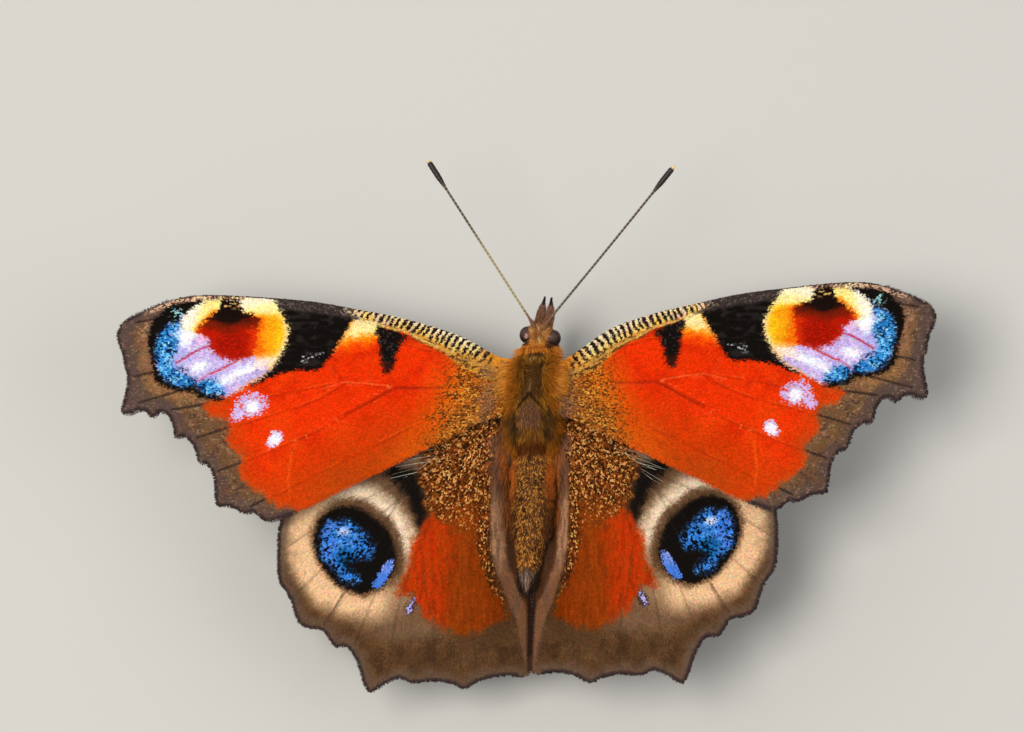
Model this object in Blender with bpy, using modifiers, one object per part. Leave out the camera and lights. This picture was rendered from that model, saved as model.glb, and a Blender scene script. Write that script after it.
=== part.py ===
"""A peacock butterfly resting with its wings spread, modelled at life size.

Sizes below are in millimetres and are turned into metres by MM where a mesh is made.
The body frame has +X to the animal's right, +Y toward its head and +Z up, with its origin on the
mid-line between the bases of the two forewings. STANCE lifts that frame so that the feet rest at z = 0.
"""

import math

import bmesh
import bpy
from mathutils import Euler, Matrix, Vector
from mathutils.geometry import delaunay_2d_cdt

MM = 0.001

# Where the body frame sits in the world: the box of the whole animal is centred on x = y = 0.
STANCE = Vector((-0.06, 4.81, 7.2))

# Gaps that touching meshes keep: between the larger pieces, and round the small ones on the head.
JOINT_GAP = 0.3
HEAD_GAP = 0.2

# Wing membranes: thickness of the plain membrane, of its main veins, and half a vein's width.
MEMBRANE = 0.5
VEIN_THICK = 0.86
VEIN_HALF_WIDTH = 0.3
VEIN_END_STRENGTH = 0.4

# How finely a wing is divided: steps along veins and rim, the grid between, and room beside them.
VEIN_STEP = 1.9
OUTLINE_STEP = 0.85
GRID_STEP = 2.5
GRID_CLEAR = 1.3
RIM_CLEAR = 0.24

# A wing's plan has its origin at the wing's root, u outward and v toward the head.
# Each outline runs from the root out along the front edge and back along the rear edge.
FORE_FRONT_EDGE = (
    (-1.5, 0.9),
    (0.0, 1.15),
    (1.6, 1.95),
    (3.2, 2.8),
    (4.8, 3.5),
    (7.8, 4.4),
    (11.0, 5.05),
    (14.2, 5.7),
    (17.3, 6.05),
    (20.5, 6.25),
    (23.7, 6.3),
    (25.5, 6.05),
    (27.3, 5.35),
    (28.6, 4.75),
    (29.6, 4.0),
    (30.0, 3.1),
)
# The outer margin: notches stand at the vein ends and lobes between them.
FORE_MARGIN = (
    (29.65, 1.7),
    (29.2, 0.3),
    (29.15, -1.3),
    (29.6, -3.1),
    (28.35, -2.95),
    (27.15, -3.4),
    (26.0, -3.3),
    (25.15, -4.95),
    (24.05, -5.55),
    (23.35, -6.95),
    (22.3, -8.15),
    (21.95, -10.2),
    (21.3, -10.85),
    (19.7, -11.15),
    (17.95, -11.85),
)
FORE_REAR_EDGE = (
    (15.5, -10.95),
    (12.6, -9.55),
    (9.4, -7.9),
    (6.3, -6.35),
    (3.0, -4.75),
    (1.0, -3.9),
    (-1.5, -2.9),
)
HIND_FRONT_EDGE = (
    (-1.5, 0.3),
    (0.8, 0.5),
    (4.0, -0.2),
    (8.0, -1.3),
    (12.0, -2.6),
    (15.0, -4.0),
    (16.9, -5.9),
)
HIND_MARGIN = (
    (17.5, -7.6),
    (17.65, -9.7),
    (17.5, -12.1),
    (16.65, -13.5),
    (15.95, -15.45),
    (15.2, -15.85),
    (14.1, -16.05),
    (13.1, -17.3),
    (12.2, -17.35),
    (11.4, -18.5),
    (10.45, -20.9),
    (9.25, -20.3),
    (8.1, -19.85),
    (7.15, -20.2),
    (5.4, -20.05),
    (3.9, -20.3),
    (3.05, -20.7),
    (1.9, -20.1),
    (-0.2, -19.6),
    (-1.85, -19.5),
)
# The rear part of this edge meets the other wing's below and behind the abdomen.
HIND_REAR_EDGE = (
    (-1.85, -17.5),
    (-1.85, -15.0),
    (-1.5, -13.6),
    (-0.9, -12.0),
    (-0.45, -10.0),
    (-0.35, -7.5),
    (-0.35, -4.0),
    (-1.5, -2.6),
)

# Main veins, named as entomologists do, each from its root or fork to the margin.
FORE_VEINS = {
    "subcosta": ((0.0, 0.75), (3.5, 2.1), (8.0, 3.6), (12.5, 4.75), (16.0, 5.4)),
    "radius": ((0.0, 0.1), (4.0, 1.35), (8.5, 2.5), (12.5, 2.95), (18.0, 4.1), (24.0, 4.9), (28.6, 4.1)),
    "radius_one": ((9.9, 2.75), (14.5, 4.2), (19.5, 5.6)),
    "media_one": ((12.5, 2.95), (13.1, 1.9), (17.0, 1.9), (22.0, 1.2), (28.6, -0.3)),
    "media_two": ((13.1, 1.9), (13.2, 0.7), (17.5, 0.4), (22.5, -0.8), (28.3, -2.4)),
    "cubitus": ((0.0, -0.8), (4.0, -1.1), (8.0, -1.2), (11.9, -0.8), (14.5, -1.2), (19.0, -2.0), (25.6, -2.95)),
    "cell_end": ((13.2, 0.7), (12.8, -0.3), (11.9, -0.8)),
    "cubitus_one": ((11.9, -0.8), (14.1, -2.1), (18.5, -3.6), (23.6, -5.2)),
    "cubitus_two": ((8.0, -1.2), (9.8, -2.2), (13.5, -4.3), (17.5, -6.1), (21.8, -7.85)),
    "anal": ((0.0, -1.7), (2.6, -2.6), (6.0, -4.0), (11.0, -6.5), (15.5, -8.8), (19.3, -10.7)),
}
HIND_VEINS = {
    "subcosta": ((0.0, -0.4), (2.5, -1.3), (7.0, -2.5), (11.5, -3.9), (16.0, -6.2)),
    "radius": ((2.5, -1.3), (6.0, -3.4), (10.5, -5.6), (14.0, -7.6), (17.1, -9.6)),
    "media_one": ((6.0, -3.4), (8.2, -5.8), (11.5, -8.6), (14.2, -11.3), (16.2, -13.2)),
    "media_two": ((8.2, -5.8), (9.0, -7.3), (11.2, -11.0), (13.7, -15.6)),
    "media_three": ((9.0, -7.3), (8.2, -8.6), (9.6, -12.2), (11.6, -17.2)),
    "cubitus_one": ((0.6, -2.1), (3.2, -4.6), (5.6, -7.6), (7.2, -11.0), (8.4, -15.4), (9.1, -19.7)),
    "cubitus_two": ((5.6, -7.6), (5.6, -11.0), (5.5, -15.0), (5.35, -19.6)),
    "cell_end": ((8.2, -8.6), (6.9, -8.9), (5.9, -8.2)),
    "anal": ((0.6, -2.1), (1.9, -5.5), (2.6, -10.0), (2.5, -15.0), (2.0, -19.6)),
}

# Wing pose for each side: dihedral, incidence and sweep in degrees. The left comes first.
FORE_ROOT = Vector((2.4, -0.5, 0.25))
HIND_ROOT = Vector((2.2, -4.6, -0.9))
FORE_POSE = {"left": (9.5, 0.5, 0.0), "right": (9.2, -5.0, -1.5)}
HIND_POSE = {"left": (6.7, 0.0, 0.0), "right": (7.5, -4.5, -0.5)}

# Camber: how much the front edge turns down, and how much the wing bows over its length.
FORE_DROOP = 0.55
FORE_BOW = 0.6
HIND_BOW = 0.5
# The inner strip of the hindwing folds down beside the abdomen.
FOLD_START = 1.5
FOLD_WIDTH = 2.4
FOLD_DEPTH = 1.5
FOLD_DEPTH_REAR = 0.9

# Body: x of the mid-line at a given y, because the rear of the abdomen bends a little to the left.
BODY_LINE = ((-19.0, -0.45), (-14.5, -0.1), (-10.6, 0.1), (-6.0, 0.3), (-2.5, 0.4), (0.5, 0.65), (2.4, 0.93))
BODY_SIDES = 28

THORAX_FRONT = 0.35
THORAX_REAR = -7.5
THORAX_HALF_WIDTH = 2.15
THORAX_TOP = 1.75
THORAX_BOTTOM = -3.15
# The tegulae: a scale-covered lobe over the base of each forewing, fused to the thorax.
TEGULA_OFFSET = Vector((1.5, -1.25, 1.22))
TEGULA_HALF = Vector((0.85, 1.4, 0.42))
TEGULA_TURN = 12.0
TEGULA_TILT = 15.0

COLLAR_HALF_WIDTH = 1.45
COLLAR_FRONT = 1.35
COLLAR_REAR = -0.6
COLLAR_TOP = 1.0
COLLAR_BOTTOM = -1.75

ABDOMEN_FRONT = -6.2
ABDOMEN_REAR = -18.1
ABDOMEN_HALF_WIDTH = 1.5
ABDOMEN_SEGMENTS = 8
ABDOMEN_SIDES = 22
ABDOMEN_GROOVE = 0.07
ABDOMEN_LEVEL_FRONT = -0.75
ABDOMEN_LEVEL_REAR = -1.5

HEAD_CENTRE = Vector((0.9, 2.5, -0.35))
HEAD_HALF = Vector((1.15, 1.15, 1.15))
HEAD_YAW = -9.5
EYE_HALF = Vector((0.62, 0.68, 0.78))
EYE_OFFSET = Vector((1.06, 0.0, 0.05))

ANTENNA_BASE = Vector((0.42, 0.35, 0.5))
ANTENNA_JOINT = Vector((0.55, 0.85, 1.15))
ANTENNA_JOINT_RADIUS = 0.33
ANTENNA_RINGS = 24
ANTENNA_TIP = {"left": Vector((-7.45, 15.9, 3.3)), "right": Vector((12.0, 14.5, 3.3))}
ANTENNA_SAG = 0.15
ANTENNA_SHAFT_RADIUS = 0.25
ANTENNA_CLUB_RADIUS = 0.34
ANTENNA_CLUB_LENGTH = 2.5

PALP_BASE = Vector((0.48, 0.5, -0.3))
PALP_TIP = Vector((0.28, 3.0, 0.6))
PALP_RADIUS = 0.34
PALP_SAG = 0.2

PROBOSCIS_TUBE = 0.26
PROBOSCIS_TURNS = 1.5
PROBOSCIS_INNER = 0.3
PROBOSCIS_PITCH = 0.82
PROBOSCIS_CENTRE = Vector((0.0, 0.75, -2.72))

# Legs, right side: hip, knee, ankle and toe in the body frame. The floor is at minus the stance height.
FLOOR = -STANCE.z
TARSUS_RADIUS = 0.27
FOOT_FLAT_DEPTH = 0.06
TARSUS_LEVEL = FLOOR + TARSUS_RADIUS - FOOT_FLAT_DEPTH
LEGS = {
    "midleg": ((1.1, -2.6, -2.3), (4.7, -1.0, -2.5), (6.7, 0.5, TARSUS_LEVEL), (9.7, 2.5, TARSUS_LEVEL)),
    "hindleg": ((1.1, -5.2, -2.2), (4.4, -7.5, -2.7), (6.2, -9.3, TARSUS_LEVEL), (8.8, -11.9, TARSUS_LEVEL)),
}
FEMUR_RADIUS = 0.38
TIBIA_RADIUS = 0.3
FORELEG = ((0.7, -0.2, -2.0), (1.35, 1.2, -2.6), (1.0, 2.7, -2.35), (0.75, 1.3, -3.25))

COLOURS = {
    "wing": (0.72, 0.07, 0.01),
    "hindwing": (0.30, 0.12, 0.05),
    "thorax": (0.16, 0.09, 0.03),
    "head": (0.09, 0.06, 0.04),
    "abdomen": (0.22, 0.10, 0.03),
    "eye": (0.035, 0.03, 0.03),
    "dark": (0.03, 0.025, 0.02),
    "leg": (0.11, 0.08, 0.05),
}


def clear_scene():
    for old in list(bpy.data.objects):
        bpy.data.objects.remove(old, do_unlink=True)


def new_collection(name):
    collection = bpy.data.collections.new(name)
    bpy.context.scene.collection.children.link(collection)
    return collection


def new_material(name, colour, roughness):
    material = bpy.data.materials.new(name)
    material.use_nodes = True
    shader = material.node_tree.nodes["Principled BSDF"]
    shader.inputs["Base Color"].default_value = (*colour, 1.0)
    shader.inputs["Roughness"].default_value = roughness
    shader.inputs["Metallic"].default_value = 0.0
    return material


def blend(low, high, value):
    """0 below low, 1 above high and a smooth step between."""
    t = min(1.0, max(0.0, (value - low) / (high - low)))
    return t * t * (3.0 - 2.0 * t)


def along(points, place):
    """Value of a piecewise-linear curve of (place, value) points."""
    for (p0, v0), (p1, v1) in zip(points, points[1:]):
        if place <= p1:
            t = max(0.0, (place - p0) / (p1 - p0))
            return v0 + (v1 - v0) * t
    return points[-1][1]


def smooth_path(points, step, closed=False):
    """Points about one step apart on a Catmull-Rom curve through the given points."""
    points = [Vector(point) for point in points]
    count = len(points)
    path = []
    for index in range(count if closed else count - 1):
        p1 = points[index]
        p2 = points[(index + 1) % count]
        before = points[index - 1] if index > 0 or closed else p1 * 2 - p2
        last = index + 2 < count or closed
        after = points[(index + 2) % count] if last else p2 * 2 - p1
        pieces = max(1, round((p2 - p1).length / step))
        reach = (p2 - p1).length
        m1 = (p2 - before) * (reach / max(1e-9, (p2 - p1).length + (p1 - before).length))
        m2 = (after - p1) * (reach / max(1e-9, (after - p2).length + (p2 - p1).length))
        for k in range(pieces):
            t = k / pieces
            h1 = 2 * t**3 - 3 * t**2 + 1
            h2 = t**3 - 2 * t**2 + t
            h3 = -2 * t**3 + 3 * t**2
            h4 = t**3 - t**2
            path.append(p1 * h1 + m1 * h2 + p2 * h3 + m2 * h4)
    if not closed:
        path.append(points[-1])
    return path


def inside(point, outline):
    """Whether a plan point lies inside the closed outline."""
    x, y = point
    found = False
    for a, b in zip(outline, outline[1:] + outline[:1]):
        if (a[1] > y) != (b[1] > y):
            if x < (b[0] - a[0]) * (y - a[1]) / (b[1] - a[1]) + a[0]:
                found = not found
    return found


def clear_of(point, others, distance):
    return all((point - other).length > distance for other in others)


def mesh_object(name, points, faces, collection, material):
    """A mesh object from points in millimetres."""
    mesh = bpy.data.meshes.new(name)
    mesh.from_pydata([Vector(point) * MM for point in points], [], faces)
    mesh.validate()
    thing = bpy.data.objects.new(name, mesh)
    collection.objects.link(thing)
    if material:
        mesh.materials.append(material)
    return thing


def outward(thing):
    """Turns every face of a closed mesh outward."""
    shell = bmesh.new()
    shell.from_mesh(thing.data)
    bmesh.ops.recalc_face_normals(shell, faces=shell.faces)
    if shell.calc_volume(signed=True) < 0:
        bmesh.ops.reverse_faces(shell, faces=shell.faces)
    shell.to_mesh(thing.data)
    shell.free()


def fore_height(u, v):
    """Height of the forewing's middle surface over its plan."""
    droop = -FORE_DROOP * blend(1.0, 6.5, v)
    bow = -FORE_BOW * (u / 30.0) ** 2
    ripple = 0.12 * math.sin(0.55 * u - 0.8 * v)
    return droop + bow + ripple


def fold_drop(u, v):
    """How far the inner strip of the hindwing bends down beside the abdomen."""
    depth = FOLD_DEPTH + (FOLD_DEPTH_REAR - FOLD_DEPTH) * blend(13.0, 19.0, -v)
    return depth * blend(0.0, FOLD_WIDTH, FOLD_START - u) * blend(2.6, 5.0, -v)


def hind_height(u, v):
    """Height of the hindwing's middle surface over its plan."""
    bow = -HIND_BOW * (math.hypot(u, v) / 22.0) ** 2
    ripple = 0.1 * math.sin(0.7 * u + 0.25 * v)
    return bow + ripple - fold_drop(u, v)


def vein_lines(vein, rim, taken):
    """A vein's middle line and its two flanks as runs of plan points that keep clear of the rim."""
    line = [point.to_2d() for point in smooth_path([(*p, 0.0) for p in vein], VEIN_STEP)]
    last = len(line) - 1
    middle = []
    flanks = ([], [])
    for index, point in enumerate(line):
        ahead = (line[min(index + 1, last)] - line[max(index - 1, 0)]).normalized()
        across = Vector((-ahead.y, ahead.x)) * VEIN_HALF_WIDTH
        strength = 1.0 - (1.0 - VEIN_END_STRENGTH) * index / last
        if inside(point, rim) and clear_of(point, rim, RIM_CLEAR):
            middle.append((point, strength))
        for flank, side in zip(flanks, (across, -across)):
            spot = point + side
            if 0 < index < last and inside(spot, rim) and clear_of(spot, rim + taken, RIM_CLEAR):
                flank.append(spot)
            else:
                flank.append(None)
    return middle, flanks


def wing_plan(outline, veins):
    """Points, triangles and ridge weights of a flat wing whose edges follow its outline and veins."""
    rim = [point.to_2d() for point in smooth_path([(*p, 0.0) for p in outline], OUTLINE_STEP, True)]
    points = list(rim)
    ridges = []
    edges = []
    for vein in veins.values():
        taken = [point for point, strength in ridges]
        middle, flanks = vein_lines(vein, rim, taken)
        start = len(points)
        points.extend(point for point, strength in middle)
        ridges.extend(middle)
        edges.extend((start + k, start + k + 1) for k in range(len(middle) - 1))
        for flank in flanks:
            previous = None
            for spot in flank:
                if spot is None:
                    previous = None
                    continue
                points.append(spot)
                if previous is not None:
                    edges.append((previous, len(points) - 1))
                previous = len(points) - 1
    u_low = min(p.x for p in rim)
    u_high = max(p.x for p in rim)
    v = min(p.y for p in rim) + 0.5 * GRID_STEP
    shifted = False
    while v < max(p.y for p in rim):
        u = u_low + (0.5 * GRID_STEP if shifted else 0.0)
        while u < u_high:
            spot = Vector((u, v))
            if inside(spot, rim) and clear_of(spot, points, GRID_CLEAR):
                points.append(spot)
            u += GRID_STEP
        v += GRID_STEP * math.sqrt(0.75)
        shifted = not shifted
    ring = list(range(len(rim)))
    result = delaunay_2d_cdt(points, edges, [ring], 1, 1e-4)
    flat, triangles = result[0], result[2]
    plain = MEMBRANE / VEIN_THICK
    weights = []
    for spot in flat:
        strength = max((s for q, s in ridges if (spot - q).length < 1e-3), default=0.0)
        weights.append(plain + (1.0 - plain) * strength)
    return flat, triangles, weights


def wing(name, side, plan, height, root, pose, collection, material):
    """One wing: its plan lifted to the height surface, given its thickness, then turned about its root."""
    mirror = -1.0 if side == "left" else 1.0
    flat, triangles, weights = plan
    points = [(mirror * p.x, p.y, height(p.x, p.y)) for p in flat]
    thing = mesh_object(name, points, triangles, collection, material)
    sheet = bmesh.new()
    sheet.from_mesh(thing.data)
    for face in sheet.faces:
        if face.normal.z < 0:
            face.normal_flip()
    sheet.to_mesh(thing.data)
    sheet.free()
    ridge = thing.vertex_groups.new(name="thickness")
    for index, weight in enumerate(weights):
        ridge.add([index], weight, "REPLACE")
    solidify = thing.modifiers.new("membrane", "SOLIDIFY")
    solidify.thickness = VEIN_THICK * MM
    solidify.offset = 0.0
    solidify.vertex_group = ridge.name
    solidify.thickness_vertex_group = 0.0
    dihedral, incidence, sweep = (math.radians(angle) for angle in pose)
    outer = Vector((mirror * math.cos(dihedral), 0.0, math.sin(dihedral)))
    fore = Vector((0.0, math.cos(incidence), math.sin(incidence)))
    fore = (fore - outer * fore.dot(outer)).normalized()
    turned = outer * math.cos(sweep) + fore * math.sin(sweep)
    ahead = fore * math.cos(sweep) - outer * math.sin(sweep)
    up = outer.cross(fore) * mirror
    turn = Matrix((turned * mirror, ahead, up)).transposed()
    thing.location = (Vector((mirror * root.x, root.y, root.z)) + STANCE) * MM
    thing.rotation_euler = turn.to_euler()
    return thing


def loft(name, stations, collection, material, sides=BODY_SIDES):
    """A closed body through rings. A station is (centre, half width, height up, height down)."""
    points = []
    for centre, half_width, up, down in stations[1:-1]:
        for k in range(sides):
            angle = 2 * math.pi * k / sides
            rise = math.sin(angle)
            points.append(
                (
                    centre[0] + half_width * math.cos(angle),
                    centre[1],
                    centre[2] + (up if rise > 0 else down) * rise,
                )
            )
    rings = len(stations) - 2
    faces = []
    for ring in range(rings - 1):
        for k in range(sides):
            a = ring * sides + k
            b = ring * sides + (k + 1) % sides
            faces.append((a, b, b + sides, a + sides))
    front = len(points)
    points.append(stations[0][0])
    points.append(stations[-1][0])
    for k in range(sides):
        faces.append((front, (k + 1) % sides, k))
        tail = (rings - 1) * sides
        faces.append((front + 1, tail + k, tail + (k + 1) % sides))
    thing = mesh_object(name, points, faces, collection, material)
    outward(thing)
    thing.location = STANCE * MM
    return thing


def barrel(front, rear, half_width, top, bottom, power, grow, count=14):
    """Stations of an egg-shaped body along the body line."""
    middle = 0.5 * (top + bottom)
    half_height = 0.5 * (top - bottom)
    stations = []
    for k in range(count + 1):
        angle = math.pi * k / count
        y = 0.5 * (front + rear) + (0.5 * (front - rear) + grow) * math.cos(angle)
        swell = math.sin(angle) ** power
        centre = (along(BODY_LINE, y), y, middle)
        stations.append(
            (centre, (half_width + grow) * swell, (half_height + grow) * swell, (half_height + grow) * swell)
        )
    return stations


def thorax_stations(grow=0.0):
    return barrel(THORAX_FRONT, THORAX_REAR, THORAX_HALF_WIDTH, THORAX_TOP, THORAX_BOTTOM, 0.62, grow)


def collar_stations(grow=0.0):
    return barrel(COLLAR_FRONT, COLLAR_REAR, COLLAR_HALF_WIDTH, COLLAR_TOP, COLLAR_BOTTOM, 0.4, grow, 10)


def abdomen_stations(grow=0.0):
    """Eight rings with a shallow groove between each two, tapering to a blunt tip."""
    stations = []
    count = ABDOMEN_SEGMENTS * 4
    length = ABDOMEN_FRONT - ABDOMEN_REAR
    for k in range(count + 1):
        t = k / count
        y = ABDOMEN_FRONT + grow - (length + 2 * grow) * t
        front_round = math.sin(min(1.0, t / 0.16) * math.pi / 2) ** 0.6
        taper = 1.0 - 0.42 * blend(0.45, 1.0, t)
        tip = math.sqrt(max(0.0, 1.0 - max(0.0, (t - 0.86) / 0.14) ** 2))
        groove = 1.0 - ABDOMEN_GROOVE * (0.5 + 0.5 * math.cos(2 * math.pi * (t * ABDOMEN_SEGMENTS))) ** 3
        half = ABDOMEN_HALF_WIDTH * taper * front_round * tip * groove + grow * front_round * tip
        level = ABDOMEN_LEVEL_FRONT + (ABDOMEN_LEVEL_REAR - ABDOMEN_LEVEL_FRONT) * t
        centre = (along(BODY_LINE, y), y, level)
        stations.append((centre, half, half * 0.98, half * 1.08))
    return stations


def ellipsoid(name, centre, half, collection, material, turn=0.0, segments=24, rings=14):
    shell = bmesh.new()
    bmesh.ops.create_uvsphere(shell, u_segments=segments, v_segments=rings, radius=1.0)
    bmesh.ops.rotate(shell, verts=shell.verts, matrix=Matrix.Rotation(math.radians(90), 3, "X"))
    bmesh.ops.scale(shell, verts=shell.verts, vec=half * MM)
    mesh = bpy.data.meshes.new(name)
    shell.to_mesh(mesh)
    shell.free()
    thing = bpy.data.objects.new(name, mesh)
    collection.objects.link(thing)
    if material:
        mesh.materials.append(material)
    thing.location = (centre + STANCE) * MM
    thing.rotation_euler = Euler((0.0, 0.0, math.radians(turn)))
    return thing


def tube(name, points, radii, collection, material, sides=4):
    """A curve object with a round bevel that follows the points, then meshed and welded."""
    curve = bpy.data.curves.new(name, "CURVE")
    curve.dimensions = "3D"
    curve.bevel_depth = MM
    curve.bevel_resolution = sides
    curve.use_fill_caps = True
    spline = curve.splines.new("POLY")
    spline.points.add(len(points) - 1)
    for knot, point, radius in zip(spline.points, points, radii):
        knot.co = (*((Vector(point) + STANCE) * MM), 1.0)
        knot.radius = radius
    guide = bpy.data.objects.new(name + "_guide", curve)
    collection.objects.link(guide)
    bpy.context.view_layer.update()
    graph = bpy.context.evaluated_depsgraph_get()
    mesh = bpy.data.meshes.new_from_object(guide.evaluated_get(graph))
    bpy.data.objects.remove(guide, do_unlink=True)
    mesh.name = name
    mesh.materials.clear()
    thing = bpy.data.objects.new(name, mesh)
    collection.objects.link(thing)
    if material:
        mesh.materials.append(material)
    shell = bmesh.new()
    shell.from_mesh(mesh)
    bmesh.ops.remove_doubles(shell, verts=shell.verts, dist=1e-6)
    shell.to_mesh(mesh)
    shell.free()
    outward(thing)
    return thing


def keep_largest(mesh):
    """Leaves only the mesh's largest closed surface."""
    shell = bmesh.new()
    shell.from_mesh(mesh)
    left = set(shell.verts)
    islands = []
    while left:
        stack = [left.pop()]
        island = set(stack)
        while stack:
            for edge in stack.pop().link_edges:
                for corner in edge.verts:
                    if corner not in island:
                        island.add(corner)
                        left.discard(corner)
                        stack.append(corner)
        islands.append(island)
    islands.sort(key=len)
    spare = [corner for island in islands[:-1] for corner in island]
    bmesh.ops.delete(shell, geom=spare, context="VERTS")
    shell.to_mesh(mesh)
    shell.free()


def trim(thing, cutters):
    """Cuts the cutters away and leaves the node as one plain closed mesh."""
    for number, cutter in enumerate(cutters):
        cut = thing.modifiers.new("trim_%d" % number, "BOOLEAN")
        cut.operation = "DIFFERENCE"
        cut.solver = "EXACT"
        cut.object = cutter
    bpy.context.view_layer.update()
    graph = bpy.context.evaluated_depsgraph_get()
    mesh = bpy.data.meshes.new_from_object(thing.evaluated_get(graph))
    thing.modifiers.clear()
    keep_largest(mesh)
    mesh.name = thing.name
    thing.data = mesh
    return thing


def fuse(thing, pieces):
    """Joins the pieces to the node by one union and removes them."""
    group = new_collection(thing.name + "_pieces")
    for piece in pieces:
        for home in list(piece.users_collection):
            home.objects.unlink(piece)
        group.objects.link(piece)
    union = thing.modifiers.new("union", "BOOLEAN")
    union.operation = "UNION"
    union.solver = "EXACT"
    union.operand_type = "COLLECTION"
    union.collection = group
    trim(thing, [])
    for piece in list(group.objects):
        bpy.data.objects.remove(piece, do_unlink=True)
    bpy.data.collections.remove(group)
    return thing


def tegula(name, side, grow, collection):
    """The lobe over one forewing's base."""
    sign = side_sign(side)
    y = TEGULA_OFFSET.y
    centre = Vector((along(BODY_LINE, y) + sign * TEGULA_OFFSET.x, y, TEGULA_OFFSET.z))
    half = TEGULA_HALF + Vector((grow, grow, grow))
    lobe = ellipsoid(name, centre, half, collection, None, sign * TEGULA_TURN, 16, 10)
    lobe.rotation_euler.y = math.radians(sign * TEGULA_TILT)
    return lobe


def side_sign(side):
    return -1.0 if side == "left" else 1.0


def head_place(offset, side=None):
    """A point given in the head's own frame, in the body frame."""
    local = offset.copy()
    if side:
        local.x *= side_sign(side)
    return HEAD_CENTRE + Matrix.Rotation(math.radians(HEAD_YAW), 3, "Z") @ local


def antenna(side, collection, material):
    """A short upright base joint, then a long thin shaft that ends in a club."""
    base = head_place(ANTENNA_BASE, side)
    joint = head_place(ANTENNA_JOINT, side)
    tip = ANTENNA_TIP[side]
    length = (tip - joint).length
    points = [base]
    radii = [ANTENNA_JOINT_RADIUS]
    for k in range(ANTENNA_RINGS + 1):
        t = k / ANTENNA_RINGS
        point = joint.lerp(tip, t)
        point.z -= ANTENNA_SAG * math.sin(math.pi * t)
        from_tip = (1.0 - t) * length
        club = blend(ANTENNA_CLUB_LENGTH + 0.6, ANTENNA_CLUB_LENGTH * 0.55, from_tip)
        start = ANTENNA_JOINT_RADIUS - ANTENNA_SHAFT_RADIUS if k == 0 else 0.0
        radius = ANTENNA_SHAFT_RADIUS + (ANTENNA_CLUB_RADIUS - ANTENNA_SHAFT_RADIUS) * club + start
        points.append(point)
        radii.append(radius * max(0.35, math.sqrt(min(1.0, from_tip / 0.45))))
    return tube("antenna_" + side, points, radii, collection, material, 2)


def palp(side, collection, material):
    """A short beak-like feeler that curves forward and up from under the head."""
    base = head_place(PALP_BASE, side)
    tip = head_place(PALP_TIP, side)
    points = []
    radii = []
    for k in range(11):
        t = k / 10
        point = base.lerp(tip, t)
        point.z -= PALP_SAG * math.sin(math.pi * t)
        points.append(point)
        radii.append(PALP_RADIUS * (0.75 + 0.45 * math.sin(math.pi * min(1.0, t * 1.25)) - 0.45 * t**2))
    return tube("palp_" + side, points, radii, collection, material, 3)


def proboscis(collection, material):
    """The coiled tongue under the head, a spiral in an upright plane."""
    points = []
    radii = []
    steps = 40
    for k in range(steps + 1):
        t = k / steps
        angle = math.radians(95) - 2 * math.pi * PROBOSCIS_TURNS * (1 - t)
        reach = PROBOSCIS_INNER + PROBOSCIS_PITCH * PROBOSCIS_TURNS * t
        local = PROBOSCIS_CENTRE + Vector((0.0, reach * math.cos(angle), reach * math.sin(angle)))
        points.append(head_place(local))
        radii.append(PROBOSCIS_TUBE * (0.85 + 0.15 * t))
    return tube("proboscis", points, radii, collection, material, 2)


def leg(kind, side, collection, material):
    """Hip, thigh, shin and a foot of five short joints that lies on the floor."""
    hip, knee, ankle, toe = (Vector(p) for p in LEGS[kind])
    points = []
    radii = []
    for k in range(7):
        t = k / 6
        points.append(hip.lerp(knee, t))
        radii.append(FEMUR_RADIUS * (0.85 + 0.3 * math.sin(math.pi * (0.15 + 0.75 * t))))
    for k in range(1, 7):
        t = k / 6
        point = knee.lerp(ankle, t)
        point.z += 0.25 * math.sin(math.pi * t)
        points.append(point)
        radii.append(TIBIA_RADIUS * (0.9 + 0.15 * t))
    joints = 5
    for joint in range(joints):
        for t, size in ((0.25, 0.95), (0.85, 1.05), (1.0, 0.85)):
            place = (joint + t) / joints
            points.append(ankle.lerp(toe, place))
            radii.append(TARSUS_RADIUS * size * (1.0 - 0.25 * (joint / joints) * t))
    radii[-1] *= 0.5
    sign = side_sign(side)
    for point in points:
        point.x = point.x * sign + along(BODY_LINE, hip.y)
    return tube("%s_%s" % (kind, side), points, radii, collection, material, 3)


def foreleg(side, collection, material):
    """The short brush-like front leg, held folded under the head and collar."""
    sign = side_sign(side)
    path = smooth_path(FORELEG, 0.45)
    radii = []
    for k, point in enumerate(path):
        point.x = point.x * sign + along(BODY_LINE, point.y)
        radii.append(0.34 - 0.1 * k / (len(path) - 1))
    radii[-1] *= 0.6
    return tube("foreleg_" + side, path, radii, collection, material, 3)


def flatten_foot(thing):
    """Cuts the foot level with the floor, so that it rests on a small flat."""
    shell = bmesh.new()
    shell.from_mesh(thing.data)
    geometry = shell.verts[:] + shell.edges[:] + shell.faces[:]
    bmesh.ops.bisect_plane(shell, geom=geometry, plane_co=(0, 0, 0), plane_no=(0, 0, 1), clear_inner=True)
    rim = [edge for edge in shell.edges if edge.is_boundary]
    bmesh.ops.contextual_create(shell, geom=rim)
    shell.to_mesh(thing.data)
    shell.free()
    outward(thing)


def smooth(thing):
    thing.data.shade_smooth()


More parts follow.
